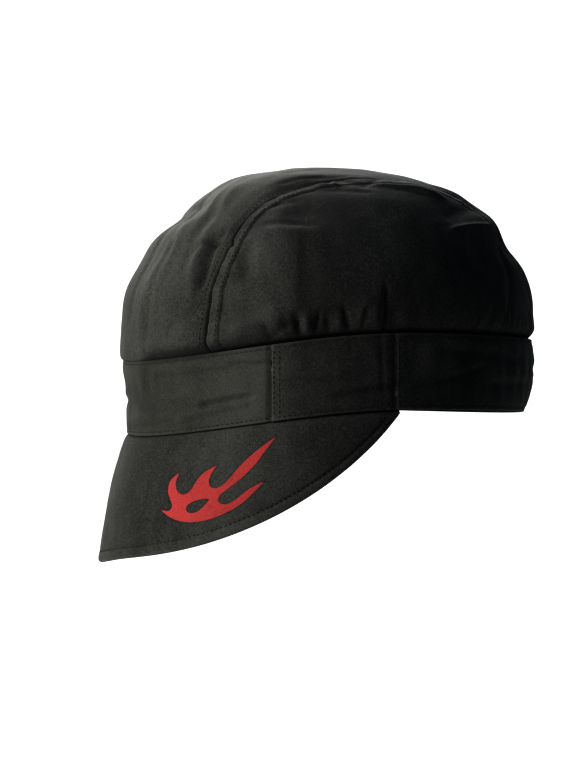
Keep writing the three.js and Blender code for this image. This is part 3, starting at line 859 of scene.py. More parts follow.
def add_mesh(name, points, faces, material, uv=None, wear=None):
    """A smooth-shaded object from points and faces, with a UV and a value of scuffing, painted
    light and painted shade for each point.
    """
    mesh = bpy.data.meshes.new(name)
    mesh.from_pydata(points.tolist(), [], faces)
    mesh.update()
    if uv is not None:
        corners = np.empty(len(mesh.loops), dtype=np.int32)
        mesh.loops.foreach_get("vertex_index", corners)
        layer = mesh.uv_layers.new(name="cloth")
        layer.data.foreach_set("uv", uv[corners].astype(np.float32).ravel())
    worn_and_lit = mesh.attributes.new("wear", "FLOAT", "POINT")
    worn_and_lit.data.foreach_set("value", (np.zeros(len(points)) if wear is None else wear).astype(
        np.float32))
    mesh.polygons.foreach_set("use_smooth", np.ones(len(mesh.polygons), dtype=bool))
    mesh.materials.append(material)
    piece = bpy.data.objects.new(name, mesh)
    bpy.context.collection.objects.link(piece)
    return piece


def grid_faces(rows, columns, closed=False):
    """Quads of a grid of points, row after row; closed joins the last column to the first."""
    index = np.arange(rows * columns).reshape(rows, columns)
    if closed:
        index = np.concatenate([index, index[:, :1]], axis=1)
    return np.stack([index[:-1, :-1], index[1:, :-1], index[1:, 1:], index[:-1, 1:]],
                    -1).reshape(-1, 4)


def cloth_wall(name, outer, outside, thickness, material, uv, wear):
    """A closed wall of cloth: the outer grid, the same grid set in along its normals, and a strip
    along each border. Borders that shrink to a point are merged."""
    rows, columns = outer.shape[:2]
    inner = outer - grid_normals(outer, outside) * thickness
    count = rows * columns
    index = np.arange(count).reshape(rows, columns)
    rim = np.concatenate([index[:-1, 0], index[-1, :-1], index[:0:-1, -1], index[0, :0:-1]])
    after = np.roll(rim, -1)
    strip = np.stack([rim, rim + count, after + count, after], -1)
    faces = grid_faces(rows, columns)
    faces = np.concatenate([faces, faces[:, ::-1] + count, strip[:, ::-1]])
    points = np.concatenate([outer.reshape(-1, 3), inner.reshape(-1, 3)])
    return closed_up(add_mesh(name, points, faces.tolist(), material,
                              np.concatenate([uv.reshape(-1, 2)] * 2),
                              np.concatenate([wear.ravel(), 0 * wear.ravel()])))


def closed_up(piece):
    """Merges points that coincide, drops faces without area, and turns all faces outwards."""
    work = bmesh.new()
    work.from_mesh(piece.data)
    bmesh.ops.remove_doubles(work, verts=work.verts, dist=0.004 * MM)
    bmesh.ops.dissolve_degenerate(work, edges=work.edges, dist=0.004 * MM)
    if work.calc_volume(signed=True) < 0:
        bmesh.ops.reverse_faces(work, faces=work.faces)
    work.to_mesh(piece.data)
    work.free()
    piece.data.polygons.foreach_set("use_smooth", np.ones(len(piece.data.polygons), dtype=bool))
    return piece


def profile_wall(name, loop, material, uv, wear):
    """A closed wall swept from a closed profile: loop holds one closed row of points per step
    along, and each end is filled with a fan about its middle."""
    rows, columns = loop.shape[:2]
    faces = grid_faces(rows, columns, closed=True).tolist()
    points = loop.reshape(-1, 3)
    for row, flip in ((0, False), (rows - 1, True)):
        ring = np.arange(columns) + row * columns
        after = np.roll(ring, -1)
        middle = np.full(columns, len(points))
        fan = np.stack([middle, ring, after] if flip else [middle, after, ring], -1)
        faces += fan.tolist()
        points = np.concatenate([points, loop[row].mean(0)[None]])
        uv = np.concatenate([uv.reshape(-1, 2), uv.reshape(-1, 2)[ring[:1]]])
        wear = np.concatenate([wear.ravel(), wear.ravel()[ring[:1]]])
    return closed_up(add_mesh(name, points, faces, material, uv, wear))


def finish_piece(piece, slot, *nodes):
    """Lets the piece ride on the cap's body and hides the nodes it stands for. Its slot is not
    used.
    """
    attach(piece, BODY)
    if nodes:
        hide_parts(*nodes)
    return piece


# ---------------------------------------------------------------- stitches


# Rings and sides of one stitch, points on a row of stitches over the crown, how far beside a row
# its normals are measured, and how far down the peak its row ends
STITCH_RINGS = 5
STITCH_SIDES = 6
ROW_SAMPLES = 400
BESIDE = 0.5 * MM
PEAK_STITCHES_END = 2.2 * MM


def stitch_template(size):
    """One stitch lying along x: rings of six points whose radius follows half an ellipse, and a
    point at each end; it arches so that its ends dip into the cloth."""
    way = np.linspace(-1, 1, STITCH_RINGS + 2)[1:-1]
    radius = size.thread / 2 * np.sqrt(1 - way ** 4)
    spin = np.arange(STITCH_SIDES) * 2 * math.pi / STITCH_SIDES
    x = np.repeat(way[:, None] * size.stitch_length / 2, STITCH_SIDES, 1)
    y = radius[:, None] * np.cos(spin)
    z = radius[:, None] * np.sin(spin) + (0.16 * MM * (1 - way ** 2) - 0.05 * MM)[:, None]
    rings = np.stack([x, y, z], -1).reshape(-1, 3)
    tip = size.stitch_length / 2
    points = np.concatenate([rings, [[-tip, 0, -0.12 * MM], [tip, 0, -0.12 * MM]]])
    quads = grid_faces(STITCH_RINGS, STITCH_SIDES, closed=True)
    ring = np.arange(STITCH_SIDES)
    after = np.roll(ring, -1)
    first = np.full(STITCH_SIDES, len(rings))
    last = ring + (STITCH_RINGS - 1) * STITCH_SIDES
    caps = np.concatenate([np.stack([first, after, ring], -1),
                           np.stack([first + 1, last, np.roll(last, -1)], -1)])
    return points, quads, caps


def stitch_frames(size, line, normals):
    """Places, directions and normals of stitches at an even pitch along a line of points."""
    arc = distance_along(line)
    count = max(int(arc[-1] / size.stitch_pitch), 1)
    places = (np.arange(count) + 0.5) * arc[-1] / count

    def at(values, shift=0.0):
        return np.stack([np.interp(places + shift, arc, column) for column in values.T], -1)

    up = normalised(at(normals))
    along = normalised(at(line, 0.4 * MM) - at(line, -0.4 * MM))
    up = normalised(up - along * (up * along).sum(-1, keepdims=True))
    return at(line), along, up


def add_stitches(name, size, rows, material):
    """All stitches of several rows as one object: the template set at each place, slightly turned
    and stretched so that no two look alike."""
    points, quads, caps = stitch_template(size)
    frames = [stitch_frames(size, line, normals) for line, normals in rows]
    at, along, up = (np.concatenate(part) for part in zip(*frames))
    random = np.random.default_rng(STITCH_SEED)
    stretch = 1 + 0.08 * random.standard_normal(len(at))
    skew = 0.07 * random.standard_normal(len(at))
    across = np.cross(up, along)
    along, across = along + across * skew[:, None], across - along * skew[:, None]
    placed = (at[:, None] + along[:, None] * (points[:, :1] * stretch[:, None, None])
              + across[:, None] * points[:, 1:2] + up[:, None] * points[:, 2:3])
    starts = (np.arange(len(at)) * len(points))[:, None, None]
    faces = (quads[None] + starts).reshape(-1, 4).tolist()
    faces += (caps[None] + starts).reshape(-1, 3).tolist()
    return add_mesh(name, placed.reshape(-1, 3), faces, material)


def line_normals(line, beside, outside):
    """Normals along a line on a surface, from the line and one beside it, turned outwards."""
    normals = normalised(np.cross(np.gradient(line, axis=0), beside - line))
    return normals * np.sign((normals * outside).sum(-1, keepdims=True))


def crown_row(size, side, panel, away, ways):
    """A line on the crown beside a seam, a distance away from it on the given panel. Over the top
    it is drawn in to the cloth."""
    way = np.linspace(*ways, ROW_SAMPLES)
    lines = []
    for shift in (away, away + BESIDE * np.sign(away)):
        direction = seam_direction(size, way, side, shift)
        lines.append(crown_surface(size, direction, panel)[0])
    normals = line_normals(lines[0], lines[1], lines[0] - head_centre(size))
    sunk = 0.3 * MM * smooth(way, 0.3, 0.42)
    return lines[0] - normals * sunk[:, None], normals


def peak_row(size, inset, depth):
    """A line on the peak a distance in from its edge, measured square to the edge, on its outer
    face or, with a depth, on its underside."""
    turn, arc = peak_arc(size)
    reach = peak_reach(size, turn)
    slope = np.gradient(reach, arc)
    norm = np.sqrt(1 + slope ** 2)
    along = arc + inset * slope / norm
    down = reach - inset / norm
    kept = (down > PEAK_STITCHES_END) & (np.gradient(along) > 0)
    turn_at = np.interp(along[kept], arc, turn)
    line = peak_point(size, turn_at, down[kept], depth)
    beside = peak_point(size, turn_at, down[kept] - BESIDE, depth)
    outside = line * [1, 1, 0] * (1 if depth < size.peak_cloth / 2 else -1)
    return line, line_normals(line, beside, outside)


# ---------------------------------------------------------------- materials


# From one rib of the twill to the next, from one of its cross threads to the next, and from one
# thread of the plain weave to the next
RIB_PITCH = 1.15 * MM
CROSS_PITCH = 0.55 * MM
WEAVE_PITCH = 0.52 * MM


class Shade:
    """A shader socket that Python can reckon with: each sign makes a Math node."""

    def __init__(self, tree, socket=None):
        self.tree, self.socket = tree, socket

    def node(self, kind, settings=None, sockets=None, output=0):
        """Makes a node of a type, sets its settings, and then the values or links of its sockets.
        The setting stops fills a colour ramp."""
        made = self.tree.nodes.new(kind)
        for name, value in (settings or {}).items():
            if name == "stops":
                ramp = made.color_ramp.elements
                while len(ramp) < len(value):
                    ramp.new(0.5)
                for stop, (place, grey) in zip(ramp, value):
                    stop.position = place
                    stop.color = (grey, grey, grey, 1)
            else:
                setattr(made, name, value)
        for key, value in (sockets or {}).items():
            if isinstance(value, Shade):
                self.tree.links.new(value.socket, made.inputs[key])
            else:
                made.inputs[key].default_value = value
        return Shade(self.tree, made.outputs[output] if len(made.outputs) else None)

    def math(self, operation, *values):
        """A Math node on this socket and other values."""
        sockets = dict(enumerate((self,) + values))
        return self.node("ShaderNodeMath", {"operation": operation}, sockets)

    def __add__(self, other):
        return self.math("ADD", other)

    def __sub__(self, other):
        return self.math("SUBTRACT", other)

    def __mul__(self, other):
        return self.math("MULTIPLY", other)

    def __rsub__(self, other):
        return self.node("ShaderNodeMath", {"operation": "SUBTRACT"}, {0: other, 1: self})

    __radd__ = __add__
    __rmul__ = __mul__

    def clamp(self):
        """This value held between 0 and 1."""
        return self.node("ShaderNodeClamp", None, {0: self})

    def mix(self, low, high):
        """The colour between low at 0 and high at 1."""
        return self.node("ShaderNodeMix", {"data_type": "RGBA"},
                         {0: self, 6: low, 7: high}, output=2)


def rgba(three):
    """A colour property with full alpha."""
    return (*three, 1.0)


def noise_on(shade, place, scale, detail):
    """Noise from 0 to 1 at a scale per metre."""
    return shade.node("ShaderNodeTexNoise", None,
                      {"Vector": place, "Scale": scale, "Detail": detail})


def stretched(shade, place, across, along):
    """The cloth's own coordinates, scaled by thread counts per metre across and along."""
    return shade.node("ShaderNodeVectorMath", {"operation": "MULTIPLY"},
                      {0: place, 1: (across, along, 1.0)})


def empty_material(name):
    """A node material without nodes, and a Shade to build it with."""
    material = bpy.data.materials.new(name)
    material.use_nodes = True
    material.node_tree.nodes.clear()
    return material, Shade(material.node_tree)


def finish_material(shade, height, strength, distance, looks):
    """Ends a material: a bump from a height, the shader with its looks, and the output."""
    bump = shade.node("ShaderNodeBump", None,
                      {"Strength": strength, "Distance": distance, "Height": height})
    shader = shade.node("ShaderNodeBsdfPrincipled", None, {**looks, "Normal": bump})
    shade.node("ShaderNodeOutputMaterial", None, {"Surface": shader})


def scaled(amount, three):
    """A colour times a number, with full alpha."""
    return rgba([amount * part for part in three])


def cloth_material(name, base, worn_and_lit, weave="plain", ink=None):
    """Cotton: threads that cross (or the slanting ribs of a twill), slubs along warp and weft,
    cloudy fading, paler scuffed folds, edges and seams, and painted light and shade from a value
    per point. With an ink, a print that is ragged at its edge, has a blackish border and is
    scuffed off in places."""
    material, shade = empty_material(name)
    place = shade.node("ShaderNodeUVMap", {"uv_map": "cloth"})
    solid = shade.node("ShaderNodeTexCoord", output=3)
    wear = shade.node("ShaderNodeAttribute", {"attribute_name": "wear"}, output=2)
    across = shade.node("ShaderNodeSeparateXYZ", None, {0: place})
    along = Shade(shade.tree, across.socket.node.outputs[1])

    warp_slub = noise_on(shade, stretched(shade, place, 2000, 520), 1.0, 2.0)
    weft_slub = noise_on(shade, stretched(shade, place, 480, 2000), 1.0, 2.0)
    slubs = warp_slub * 0.55 + weft_slub * 0.45
    if weave == "twill":
        rib = ((across + along * 1.15) * (2 * math.pi / RIB_PITCH)).math("SINE")
        cross = ((across - along * 0.9) * (2 * math.pi / CROSS_PITCH)).math("SINE")
        threads = rib * 0.42 + cross * 0.1 + 0.5
    else:
        turns = math.pi / WEAVE_PITCH
        threads = (across * turns).math("SINE") * (along * turns).math("SINE") * 0.5 + 0.5

    fade = noise_on(shade, solid, 26.0, 4.0)
    speck = noise_on(shade, solid, 1700.0, 2.0)
    cloud = noise_on(shade, stretched(shade, place, 150, 60), 1.0, 3.0)
    # The per-point value goes into the tone: above zero it pales the cotton for scuffing and as
    # painted light, below zero it darkens it as painted shade.
    tone = (fade - 0.5) * 0.6 + (slubs - 0.5) * 1.7 + (speck - 0.5) * 1.3
    tone = tone + (cloud - 0.5) * 0.55 + wear * 0.42 + 0.2
    tone = tone + (threads - 0.5) * (0.75 if weave == "twill" else 0.15)
    base_colour = tone.clamp().mix(scaled(0.62, base), rgba(worn_and_lit))
    if ink is not None:
        depth = shade.node("ShaderNodeAttribute", {"attribute_name": "ink"}, output=2)
        ragged = depth + (speck - 0.5) * 0.35
        border = (ragged * 2.5 + 1.9).clamp() * 0.4
        base_colour = border.mix(base_colour, scaled(0.35, base))
        patchy = (slubs - 0.5) * 1.5 + (threads - 0.5) * 0.3 + (fade - 0.5) * 1.1
        worn_off = (patchy + (speck - 0.5) * 0.8 + 0.17).clamp()
        printed = worn_off.mix(rgba(ink), scaled(0.4, ink))
        base_colour = (ragged * 4.0 + 0.5).clamp().mix(base_colour, printed)
    height = threads * 0.5 + slubs * 0.7 + speck * 0.25
    finish_material(shade, height, 0.55, 0.22 * MM, {
        "Base Color": base_colour, "Roughness": 0.92, "Sheen Weight": 0.06,
        "Sheen Roughness": 0.55, "Specular IOR Level": 0.1})
    return material


def thread_material(name, dye):
    """Sewing thread: fine noise for its twist, a little smoother than the cloth."""
    material, shade = empty_material(name)
    twist = noise_on(shade, shade.node("ShaderNodeTexCoord", output=3), 2400.0, 1.0)
    finish_material(shade, twist, 0.5, 0.08 * MM, {
        "Base Color": twist.mix(scaled(0.5, dye), scaled(1.5, dye)), "Roughness": 0.7,
        "Sheen Weight": 0.05, "Specular IOR Level": 0.15})
    return material


def material_for(name, colours):
    """The material of a finish, made once."""
    if name in bpy.data.materials:
        return bpy.data.materials[name]
    if name == "printed_cotton":
        return cloth_material(name, colours.cotton, colours.faded, ink=colours.ink)
    if name == "sewing_thread":
        return thread_material(name, colours.thread)
    if name == "twill":
        return cloth_material(name, colours.twill, colours.faded, weave="twill")
    return cloth_material(name, colours.cotton, colours.faded)


# ---------------------------------------------------------------- operators


def steps(distance, cell):
    """How many grid steps of about a cell's size fit a distance."""
    return max(int(round(distance / cell)), 2)


def share_grid(run, width, run_cell, width_cell):
    """Shares of the way along and across a panel, in cells of about the given sizes."""
    return np.meshgrid(np.linspace(0, 1, steps(run, run_cell)),
                       np.linspace(0, 1, steps(width, width_cell)), indexing="ij")


class CAP_OT_centre_panel(Operator):
    """Sew the strip that runs from the forehead over the top to the nape"""

    bl_idname = "cap.centre_panel"
    bl_label = "Centre panel"

    def execute(self, context):
        size, colours = context.scene.cap_sizes, context.scene.cap_colours
        along, across = share_grid(CENTRE_RUN, CENTRE_WIDTH, size.grid, size.grid)
        points, wear = crown_surface(size, centre_directions(size, along, across), 0)
        uv = np.stack([across * CENTRE_WIDTH, along * CENTRE_RUN], -1)
        points = np.swapaxes(points, 0, 1)
        points = tucked(size, tucked(size, points, True), False)
        pad = [(0, 0), (TUCK_ROWS, TUCK_ROWS)]
        wear = np.pad(wear.T, pad, mode="edge")
        uv = np.stack([np.pad(uv[..., k].T, pad, mode="edge") for k in range(2)], -1)
        piece = cloth_wall("crown_centre_cloth", points, points - head_centre(size), size.cloth,
                           material_for("cotton", colours), uv, wear)
        finish_piece(piece, "crown_cloth", "crown_centre")
        return {"FINISHED"}


class CAP_OT_side_panels(Operator):
    """Sew the two side panels, gathered on to the band"""

    bl_idname = "cap.side_panels"
    bl_label = "Side panels"

    def execute(self, context):
        size, colours = context.scene.cap_sizes, context.scene.cap_colours
        along, across = share_grid(SIDE_FOOT, SIDE_RISE, 0.9 * size.grid, size.grid)
        for name, node, side in (("crown_left_cloth", "crown_left", 1),
                                 ("crown_right_cloth", "crown_right", -1)):
            directions = side_directions(size, along, across, side)
            points, wear = crown_surface(size, directions, side)
            points = tucked(size, points, True)
            wear = np.pad(wear, [(0, 0), (TUCK_ROWS, 0)], mode="edge")
            bearing = turn_of(size, points) - side * math.pi / 2
            level = np.linalg.norm(points[..., :2], axis=-1)
            uv = np.stack([bearing * level, distance_along(points, 1)], -1)
            piece = cloth_wall(name, points, points - head_centre(size), size.cloth,
                               material_for("cotton", colours), uv, wear)
            finish_piece(piece, "crown_cloth", node)
        return {"FINISHED"}


def band_piece(size, name, start, end, proud, under, material):
    """A stretch of band as a closed profile swept from one angle to another: up the outer face,
    over the top fold, down the inner face and round the lower fold. Its ends are rounded off, but
    those that under lists dive in under a neighbour."""
    around, height = size.band_front_reach, size.band_height
    gap = size.sewn_gap / 2 / around
    start, end = start + gap, end - gap
    half = size.ply / 2
    up_rows = np.linspace(half, height - half, steps(height, size.grid))
    rise = np.concatenate([up_rows, height - half + half * np.sin(FOLD),
                           up_rows[::-3], half - half * np.sin(FOLD)])
    depth = np.concatenate([0 * up_rows, half - half * np.cos(FOLD),
                            0 * up_rows[::-3] + size.ply, half + half * np.cos(FOLD)])
    turns, rises = np.meshgrid(np.linspace(start, end, steps((end - start) * around, size.grid)),
                               rise, indexing="ij")
    inset, ends = np.zeros(turns.shape), np.zeros(turns.shape)
    for place, which in ((start, "start"), (end, "end")):
        away = np.abs(turns - place) * around
        if which in under:
            inset += 0.75 * MM * (1 - smooth(away, 4.0 * MM, 7.5 * MM))
        else:
            inset += half * bell(away / (0.35 * MM))
            ends += bell(away / (0.9 * MM))
    point, _ = band_point(size, turns, rises, proud - inset - depth)
    on_edge = bell((height - rises) / (0.9 * MM)) + bell(rises / (0.9 * MM))
    relief = band_relief(size, turns, rises) / MM
    # Painted shadow of the crown's brow roll on the upper part of the band's front.
    brow = smooth(rises / height, 0.3, 0.5) * (1 - smooth(turns, 4 * DEG, 20 * DEG))
    # Painted light on the front and temples and as highlights on the rounded ends; the creases
    # painted paler on their crests and in shade in their hollows; the folded edges paler where
    # scuffed.
    wear = painted_front_light(turns) + 0.5 * on_edge + 0.3 * relief + 1.2 * ends - 0.6 * brow
    # Painted light on the lower part of the band at its temples.
    wear += 0.6 * bell((np.abs(turns) - 48 * DEG) / (12 * DEG)) * (1 - rises / height)
    # Painted shadow on the band's top edge under the crown's overhang.
    wear -= 1.8 * under_overhang(turns) * bell((height - rises) / (1.3 * MM))
    wear = np.where(depth < half, wear, 0)
    uv = np.stack([turns * around, rises + 2 * depth], -1)
    return profile_wall(name, point, material, uv, wear)


class CAP_OT_bands(Operator):
    """Sew the band: twill in front, plain over the ears and elastic at the back"""

    bl_idname = "cap.bands"
    bl_label = "Bands"

    def execute(self, context):
        size, colours = context.scene.cap_sizes, context.scene.cap_colours
        side, back = size.front_band_end, size.back_band_start
        front, over = side + UNDERLAP, back + UNDERLAP
        for name, node, slot, finish, start, end, proud, under in (
            ("band_front_cloth", "band_front", "twill_band", "twill",
             -front, front, 0.0, ("start", "end")),
            ("band_left_cloth", "band_left", "band_cloth", "cotton",
             side, over, SIDE_PROUD, ("end",)),
            ("band_right_cloth", "band_right", "band_cloth", "cotton",
             -over, -side, SIDE_PROUD, ("start",)),
            ("band_back_cloth", "band_back", "band_cloth", "cotton",
             back, 2 * math.pi - back, BACK_PROUD, ()),
        ):
            piece = band_piece(size, name, start, end, proud, under,
                               material_for(finish, colours))
            finish_piece(piece, slot, node)
        return {"FINISHED"}


# The flame print on each side of the peak, in millimetres from the rim's middle and down from the
# rim: smooth curves that meet in sharp tips, and then a hole
FLAME = [
    [(35, 18), (33.8, 22.5), (35, 26.8), (38.2, 28.8), (41.4, 27.2), (43.6, 23.2), (47, 19.4),
     (53, 16.5)],
    [(53, 16.5), (50.6, 20.2), (49.6, 24), (51.4, 27), (55.2, 26.8), (59.4, 23), (64.2, 17.4),
     (70.6, 12), (79, 6.5)],
    [(79, 6.5), (74, 13), (70, 18.4), (64.6, 23.8), (59, 28), (55, 31.2), (55, 34), (58, 35.4),
     (62.4, 33.6), (67.4, 29.8), (74.5, 26.5)],
    [(74.5, 26.5), (69.8, 31.4), (64.4, 36.2), (57, 39.8), (49, 41.8), (41, 41.8), (34, 39.6),
     (27, 35)],
    [(27, 35), (31.6, 35.8), (33.2, 33.6), (31.6, 30), (30.2, 26.2), (31, 21.6), (35, 18)],
    [(51, 32), (47, 31.8), (43, 32.6), (40.2, 34.6), (40.8, 37), (44, 37.8), (47.4, 36), (51, 32)],
]

# Points on one stretch of the print's outline, the ink's depth far outside it in millimetres, and
# the peak's depths behind the band, going in and coming back out, as shares of its thickness
CURVE_SAMPLES = 14
OUTSIDE = 9.0
ROOT_DEPTHS = np.array([0.85, 0.7, 0.55, 0.25, 0.15, 0.05])


def smooth_curve(points):
    """Points on a smooth curve through the given ones, with straight ends."""
    points = np.array(points, float)
    rows = np.vstack([2 * points[0] - points[1], points, 2 * points[-1] - points[-2]])
    part = np.linspace(0, 1, CURVE_SAMPLES, endpoint=False)[:, None]
    pieces = [between(*four, part) for four in zip(rows, rows[1:], rows[2:], rows[3:])]
    return np.concatenate(pieces + [points[-1:]])


def outline_depth(points, curves):
    """How far each point lies inside an outline, negative outside: the distance to the nearest
    stretch of it, with its sign from how often a ray to the side crosses it."""
    flat = points.reshape(-1, 2)
    nearest = np.full(len(flat), OUTSIDE)
    inside = np.zeros(len(flat), bool)
    for curve in curves:
        line = smooth_curve(curve)
        for start, end in zip(line, line[1:]):
            way = end - start
            part = np.clip((flat - start) @ way / (way @ way), 0, 1)
            nearest = np.minimum(nearest, np.hypot(*(flat - start - part[:, None] * way).T))
            spans = (start[1] > flat[:, 1]) != (end[1] > flat[:, 1])
            if way[1]:
                cross = start[0] + (flat[:, 1] - start[1]) * way[0] / way[1]
                inside ^= spans & (flat[:, 0] < cross)
    return np.where(inside, nearest, -nearest).reshape(points.shape[:-1])


class CAP_OT_peak(Operator):
    """Sew the short two-ply peak"""

    bl_idname = "cap.peak"
    bl_label = "Peak"

    def execute(self, context):
        size, colours = context.scene.cap_sizes, context.scene.cap_colours
        arc_turns, arc = peak_arc(size)
        turn = np.linspace(-size.peak_end, size.peak_end,
                           steps(arc[-1] - arc[0], 0.7 * size.grid))
        reach = peak_reach(size, turn)[:, None]
        half = size.peak_cloth / 2
        part = np.linspace(0, 1, steps(size.peak_length, 0.75 * size.grid))
        round_down = np.minimum(reach / (6 * half), 1) * half
        outer = part * (reach - round_down)
        edge = reach - round_down + round_down * np.sin(FOLD)
        root = np.linspace(0, -size.tuck, 4)[1:] + 0 * reach
        down = np.concatenate([outer, edge, outer[:, ::-2], root, root[:, ::-1]], axis=1)
        depth = np.concatenate([0 * part, half - half * np.cos(FOLD),
                                0 * part[::2] + size.peak_cloth, size.peak_cloth * ROOT_DEPTHS])
        turns, depths = np.meshgrid(turn, depth, indexing="ij")
        points = peak_point(size, turns, down, depths)
        hem = reach - down
        shown = depths < half
        # Painted light: the peak paler at its temples; its edge and the puff before the stitching
        # paler where scuffed.
        wear = 0.9 * bell((np.abs(turns) - 42 * DEG) / (15 * DEG)) + 0.75 * bell(hem / (1.3 * MM))
        wear += 0.2 * bell((hem - 0.5 * size.hem_inset) / (0.4 * size.hem_inset))
        wear = np.where(shown, wear, 0)
        arc_at = np.interp(turns, arc_turns, arc)
        uv = np.stack([arc_at, down + 3 * depths], -1)
        piece = profile_wall("peak_cloth_piece", points, material_for("printed_cotton", colours),
                             uv, wear)
        flat = np.stack([np.abs(arc_at), down], -1)
        ink = np.where(shown, outline_depth(flat / MM, FLAME), -OUTSIDE)
        field = piece.data.attributes.new("ink", "FLOAT", "POINT")
        values = np.full(len(piece.data.vertices), -OUTSIDE)
        values[:ink.size] = ink.ravel()
        field.data.foreach_set("value", values.astype(np.float32))
        finish_piece(piece, "peak_cloth", "peak")
        return {"FINISHED"}


class CAP_OT_stitches(Operator):
    """Add the topstitching of crown, band and peak"""

    bl_idname = "cap.stitches"
    bl_label = "Stitches"

    def execute(self, context):
        size, colours = context.scene.cap_sizes, context.scene.cap_colours
        thread = material_for("sewing_thread", colours)
        rows = []
        for side in (1, -1):
            rows.append(crown_row(size, side, side, size.fell_width, (0.015, 0.985)))
            rows.append(crown_row(size, side, 0, -CENTRE_STITCHES, (0.012, 0.33)))
        finish_piece(add_stitches("crown_stitches", size, rows, thread), "crown_cloth")

        # Rows round the band stop a little short of each stretch's ends, beside the upright rows
        side_end, back_end = size.front_band_end, size.back_band_start
        front = np.linspace(-side_end + 0.01, side_end - 0.01, 500)
        side = np.linspace(side_end + 0.03, back_end - 0.03, 160)
        back = np.linspace(back_end + 0.015, 2 * math.pi - back_end - 0.015, 700)
        lines = [(turn, np.full(turn.shape, rise), proud)
                 for turn, proud in ((front, 0.0), (back, BACK_PROUD), (side, SIDE_PROUD),
                                     (-side[::-1], SIDE_PROUD))
                 for rise in (BAND_STITCHES, size.band_height - BAND_STITCHES)]
        rise = np.linspace(2.6 * MM, size.band_height - 2.6 * MM, 80)
        lines += [(np.full(rise.shape, place + sign * away / size.band_front_reach), rise, proud)
                  for place, proud, sign in ((side_end, SIDE_PROUD, 1),
                                             (-side_end, SIDE_PROUD, -1),
                                             (back_end, BACK_PROUD, 1),
                                             (2 * math.pi - back_end, BACK_PROUD, -1))
                  for away in END_STITCHES]
        rows = [band_point(size, *line) for line in lines]
        finish_piece(add_stitches("band_stitches", size, rows, thread), "band_cloth")

        rows = [peak_row(size, size.hem_inset, 0.0),
                peak_row(size, size.hem_inset, size.peak_cloth)]
        finish_piece(add_stitches("peak_stitches", size, rows, thread), "peak_cloth")
        return {"FINISHED"}


# Soft lights: degrees round from the cap's front and up, distance, width, watts and tint. All face
# one point in the cap
LIGHTS = [
    ("key", 6, 17, 0.64, 0.42, 5.0, (1.0, 1.0, 0.93)),
    ("far_top", -84, 40, 0.75, 0.5, 4.8, (1.0, 1.0, 0.95)),
    ("rim", -112, 34, 0.9, 0.5, 5.0, (1.0, 1.0, 0.98)),
    ("back_fill", 112, 68, 0.9, 0.6, 0.85, (0.55, 0.78, 1.0)),
    ("back_low", 206, 14, 0.9, 0.7, 0.6, (0.9, 0.95, 1.0)),
]


LIGHTS_FACE = np.array([0, 0, 0.03])

# The camera: degrees round from the front, distance, height, lens and sensor in millimetres, and
# its shift, from pixels of a frame that is 768 high
CAMERA_TURN = 62
CAMERA_AWAY = 1.5
CAMERA_HEIGHT = 0.005
LENS = 146.25
SENSOR = 36
SHIFT = (-38 / 768, 15.6 / 768)

# The floor: its radii, and how far it is below the cap's rim
FLOOR_RADII = np.linspace(0.02, 0.62, 12)
FLOOR_SIDES = 96
FLOOR_DEPTH = 0.25


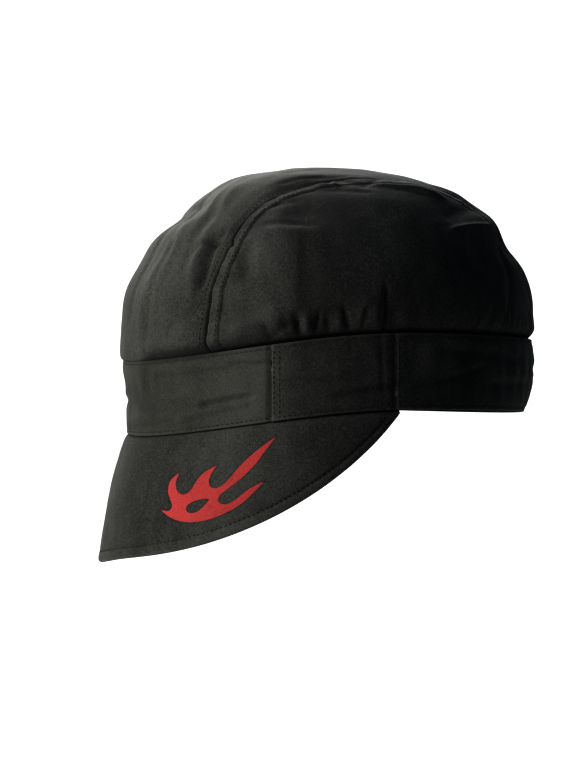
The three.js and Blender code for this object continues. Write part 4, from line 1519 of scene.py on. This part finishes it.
class CAP_OT_stage(Operator):
    """Set up the floor, the soft lights, the white surroundings and the camera"""

    bl_idname = "cap.stage"
    bl_label = "Stage"

    def execute(self, context):
        scene = context.scene
        colours = scene.cap_colours
        scene.view_settings.view_transform = "Standard"
        scene.view_settings.look = "High Contrast"
        self.add_floor(colours)
        self.add_surroundings(scene)
        for name, turn, up, away, width, watts, tint in LIGHTS:
            place = LIGHTS_FACE + away * towards(turn, up)
            self.add_light(name, place, LIGHTS_FACE, width, watts, tint)
        camera = bpy.data.objects.new("camera", bpy.data.cameras.new("camera"))
        bpy.context.collection.objects.link(camera)
        camera.location = CAMERA_AWAY * towards(CAMERA_TURN, 0) + np.array([0, 0, CAMERA_HEIGHT])
        camera.rotation_euler = (90 * DEG, 0, CAMERA_TURN * DEG)
        camera.data.lens = LENS
        camera.data.sensor_width = SENSOR
        camera.data.clip_start = 0.01
        camera.data.shift_x, camera.data.shift_y = SHIFT
        scene.camera = camera
        return {"FINISHED"}

    def add_floor(self, colours):
        """A pale disc far enough below the cap to stay out of the photograph's frame."""
        turn = np.linspace(0, 2 * math.pi, FLOOR_SIDES, endpoint=False)
        radii = FLOOR_RADII[:, None]
        points = np.stack([radii * np.cos(turn), radii * np.sin(turn),
                           0 * radii - FLOOR_DEPTH + 0 * turn], -1)
        material = bpy.data.materials.new("pale_floor")
        material.use_nodes = True
        shader = material.node_tree.nodes["Principled BSDF"]
        shader.inputs["Base Color"].default_value = rgba(colours.floor)
        shader.inputs["Roughness"].default_value = 0.9
        faces = grid_faces(len(FLOOR_RADII), FLOOR_SIDES, closed=True).tolist()
        floor = add_mesh("floor", points.reshape(-1, 3), faces, material)

    def add_surroundings(self, scene):
        """A white studio: plain white behind everything, and dimmer as a light."""
        world = bpy.data.worlds.new("studio")
        scene.world = world
        world.use_nodes = True
        world.node_tree.nodes.clear()
        shade = Shade(world.node_tree)
        seen = shade.node("ShaderNodeLightPath")
        strength = seen * 0.96 + 0.04
        tint = seen.mix((0.5, 0.76, 1, 1), (1, 1, 1, 1))
        sky = shade.node("ShaderNodeBackground", None, {"Color": tint, "Strength": strength})
        shade.node("ShaderNodeOutputWorld", None, {"Surface": sky})

    def add_light(self, name, place, aim, width, watts, tint):
        """A square soft light that faces the cap."""
        light = bpy.data.lights.new(name, "AREA")
        light.shape = "SQUARE"
        light.size = width
        light.energy = watts
        light.color = tint
        lamp = bpy.data.objects.new(name, light)
        bpy.context.collection.objects.link(lamp)
        lamp.location = place
        lamp.rotation_euler = Vector(aim - place).to_track_quat("-Z", "Y").to_euler()


class CAP_PT_panel(Panel):
    """Sizes and pieces of the cap"""

    bl_idname = "CAP_PT_panel"
    bl_label = "Welding cap"
    bl_space_type = "VIEW_3D"
    bl_region_type = "UI"
    bl_category = "Cap"

    def draw(self, context):
        for step in STEPS:
            self.layout.operator(step.bl_idname)
        for group in (context.scene.cap_sizes, context.scene.cap_colours):
            column = self.layout.column()
            for name in group.__annotations__:
                column.prop(group, name, text=name.replace("_", " ").capitalize())


STEPS = (
    CAP_OT_stage,
    CAP_OT_centre_panel,
    CAP_OT_side_panels,
    CAP_OT_bands,
    CAP_OT_peak,
    CAP_OT_stitches,
)
CLASSES = (CapSizes, CapColours, *STEPS, CAP_PT_panel)


def register():
    """Adds the classes and the two property groups."""
    for one in CLASSES:
        bpy.utils.register_class(one)
    bpy.types.Scene.cap_sizes = PointerProperty(type=CapSizes)
    bpy.types.Scene.cap_colours = PointerProperty(type=CapColours)


def unregister():
    """Takes the classes and the property groups away again."""
    del bpy.types.Scene.cap_colours
    del bpy.types.Scene.cap_sizes
    for one in reversed(CLASSES):
        bpy.utils.unregister_class(one)


def main():
    """Registers the add-on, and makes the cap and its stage."""
    register()
    for step in STEPS:
        group, name = step.bl_idname.split(".")
        getattr(getattr(bpy.ops, group), name)()


if __name__ == "__main__":
    main()
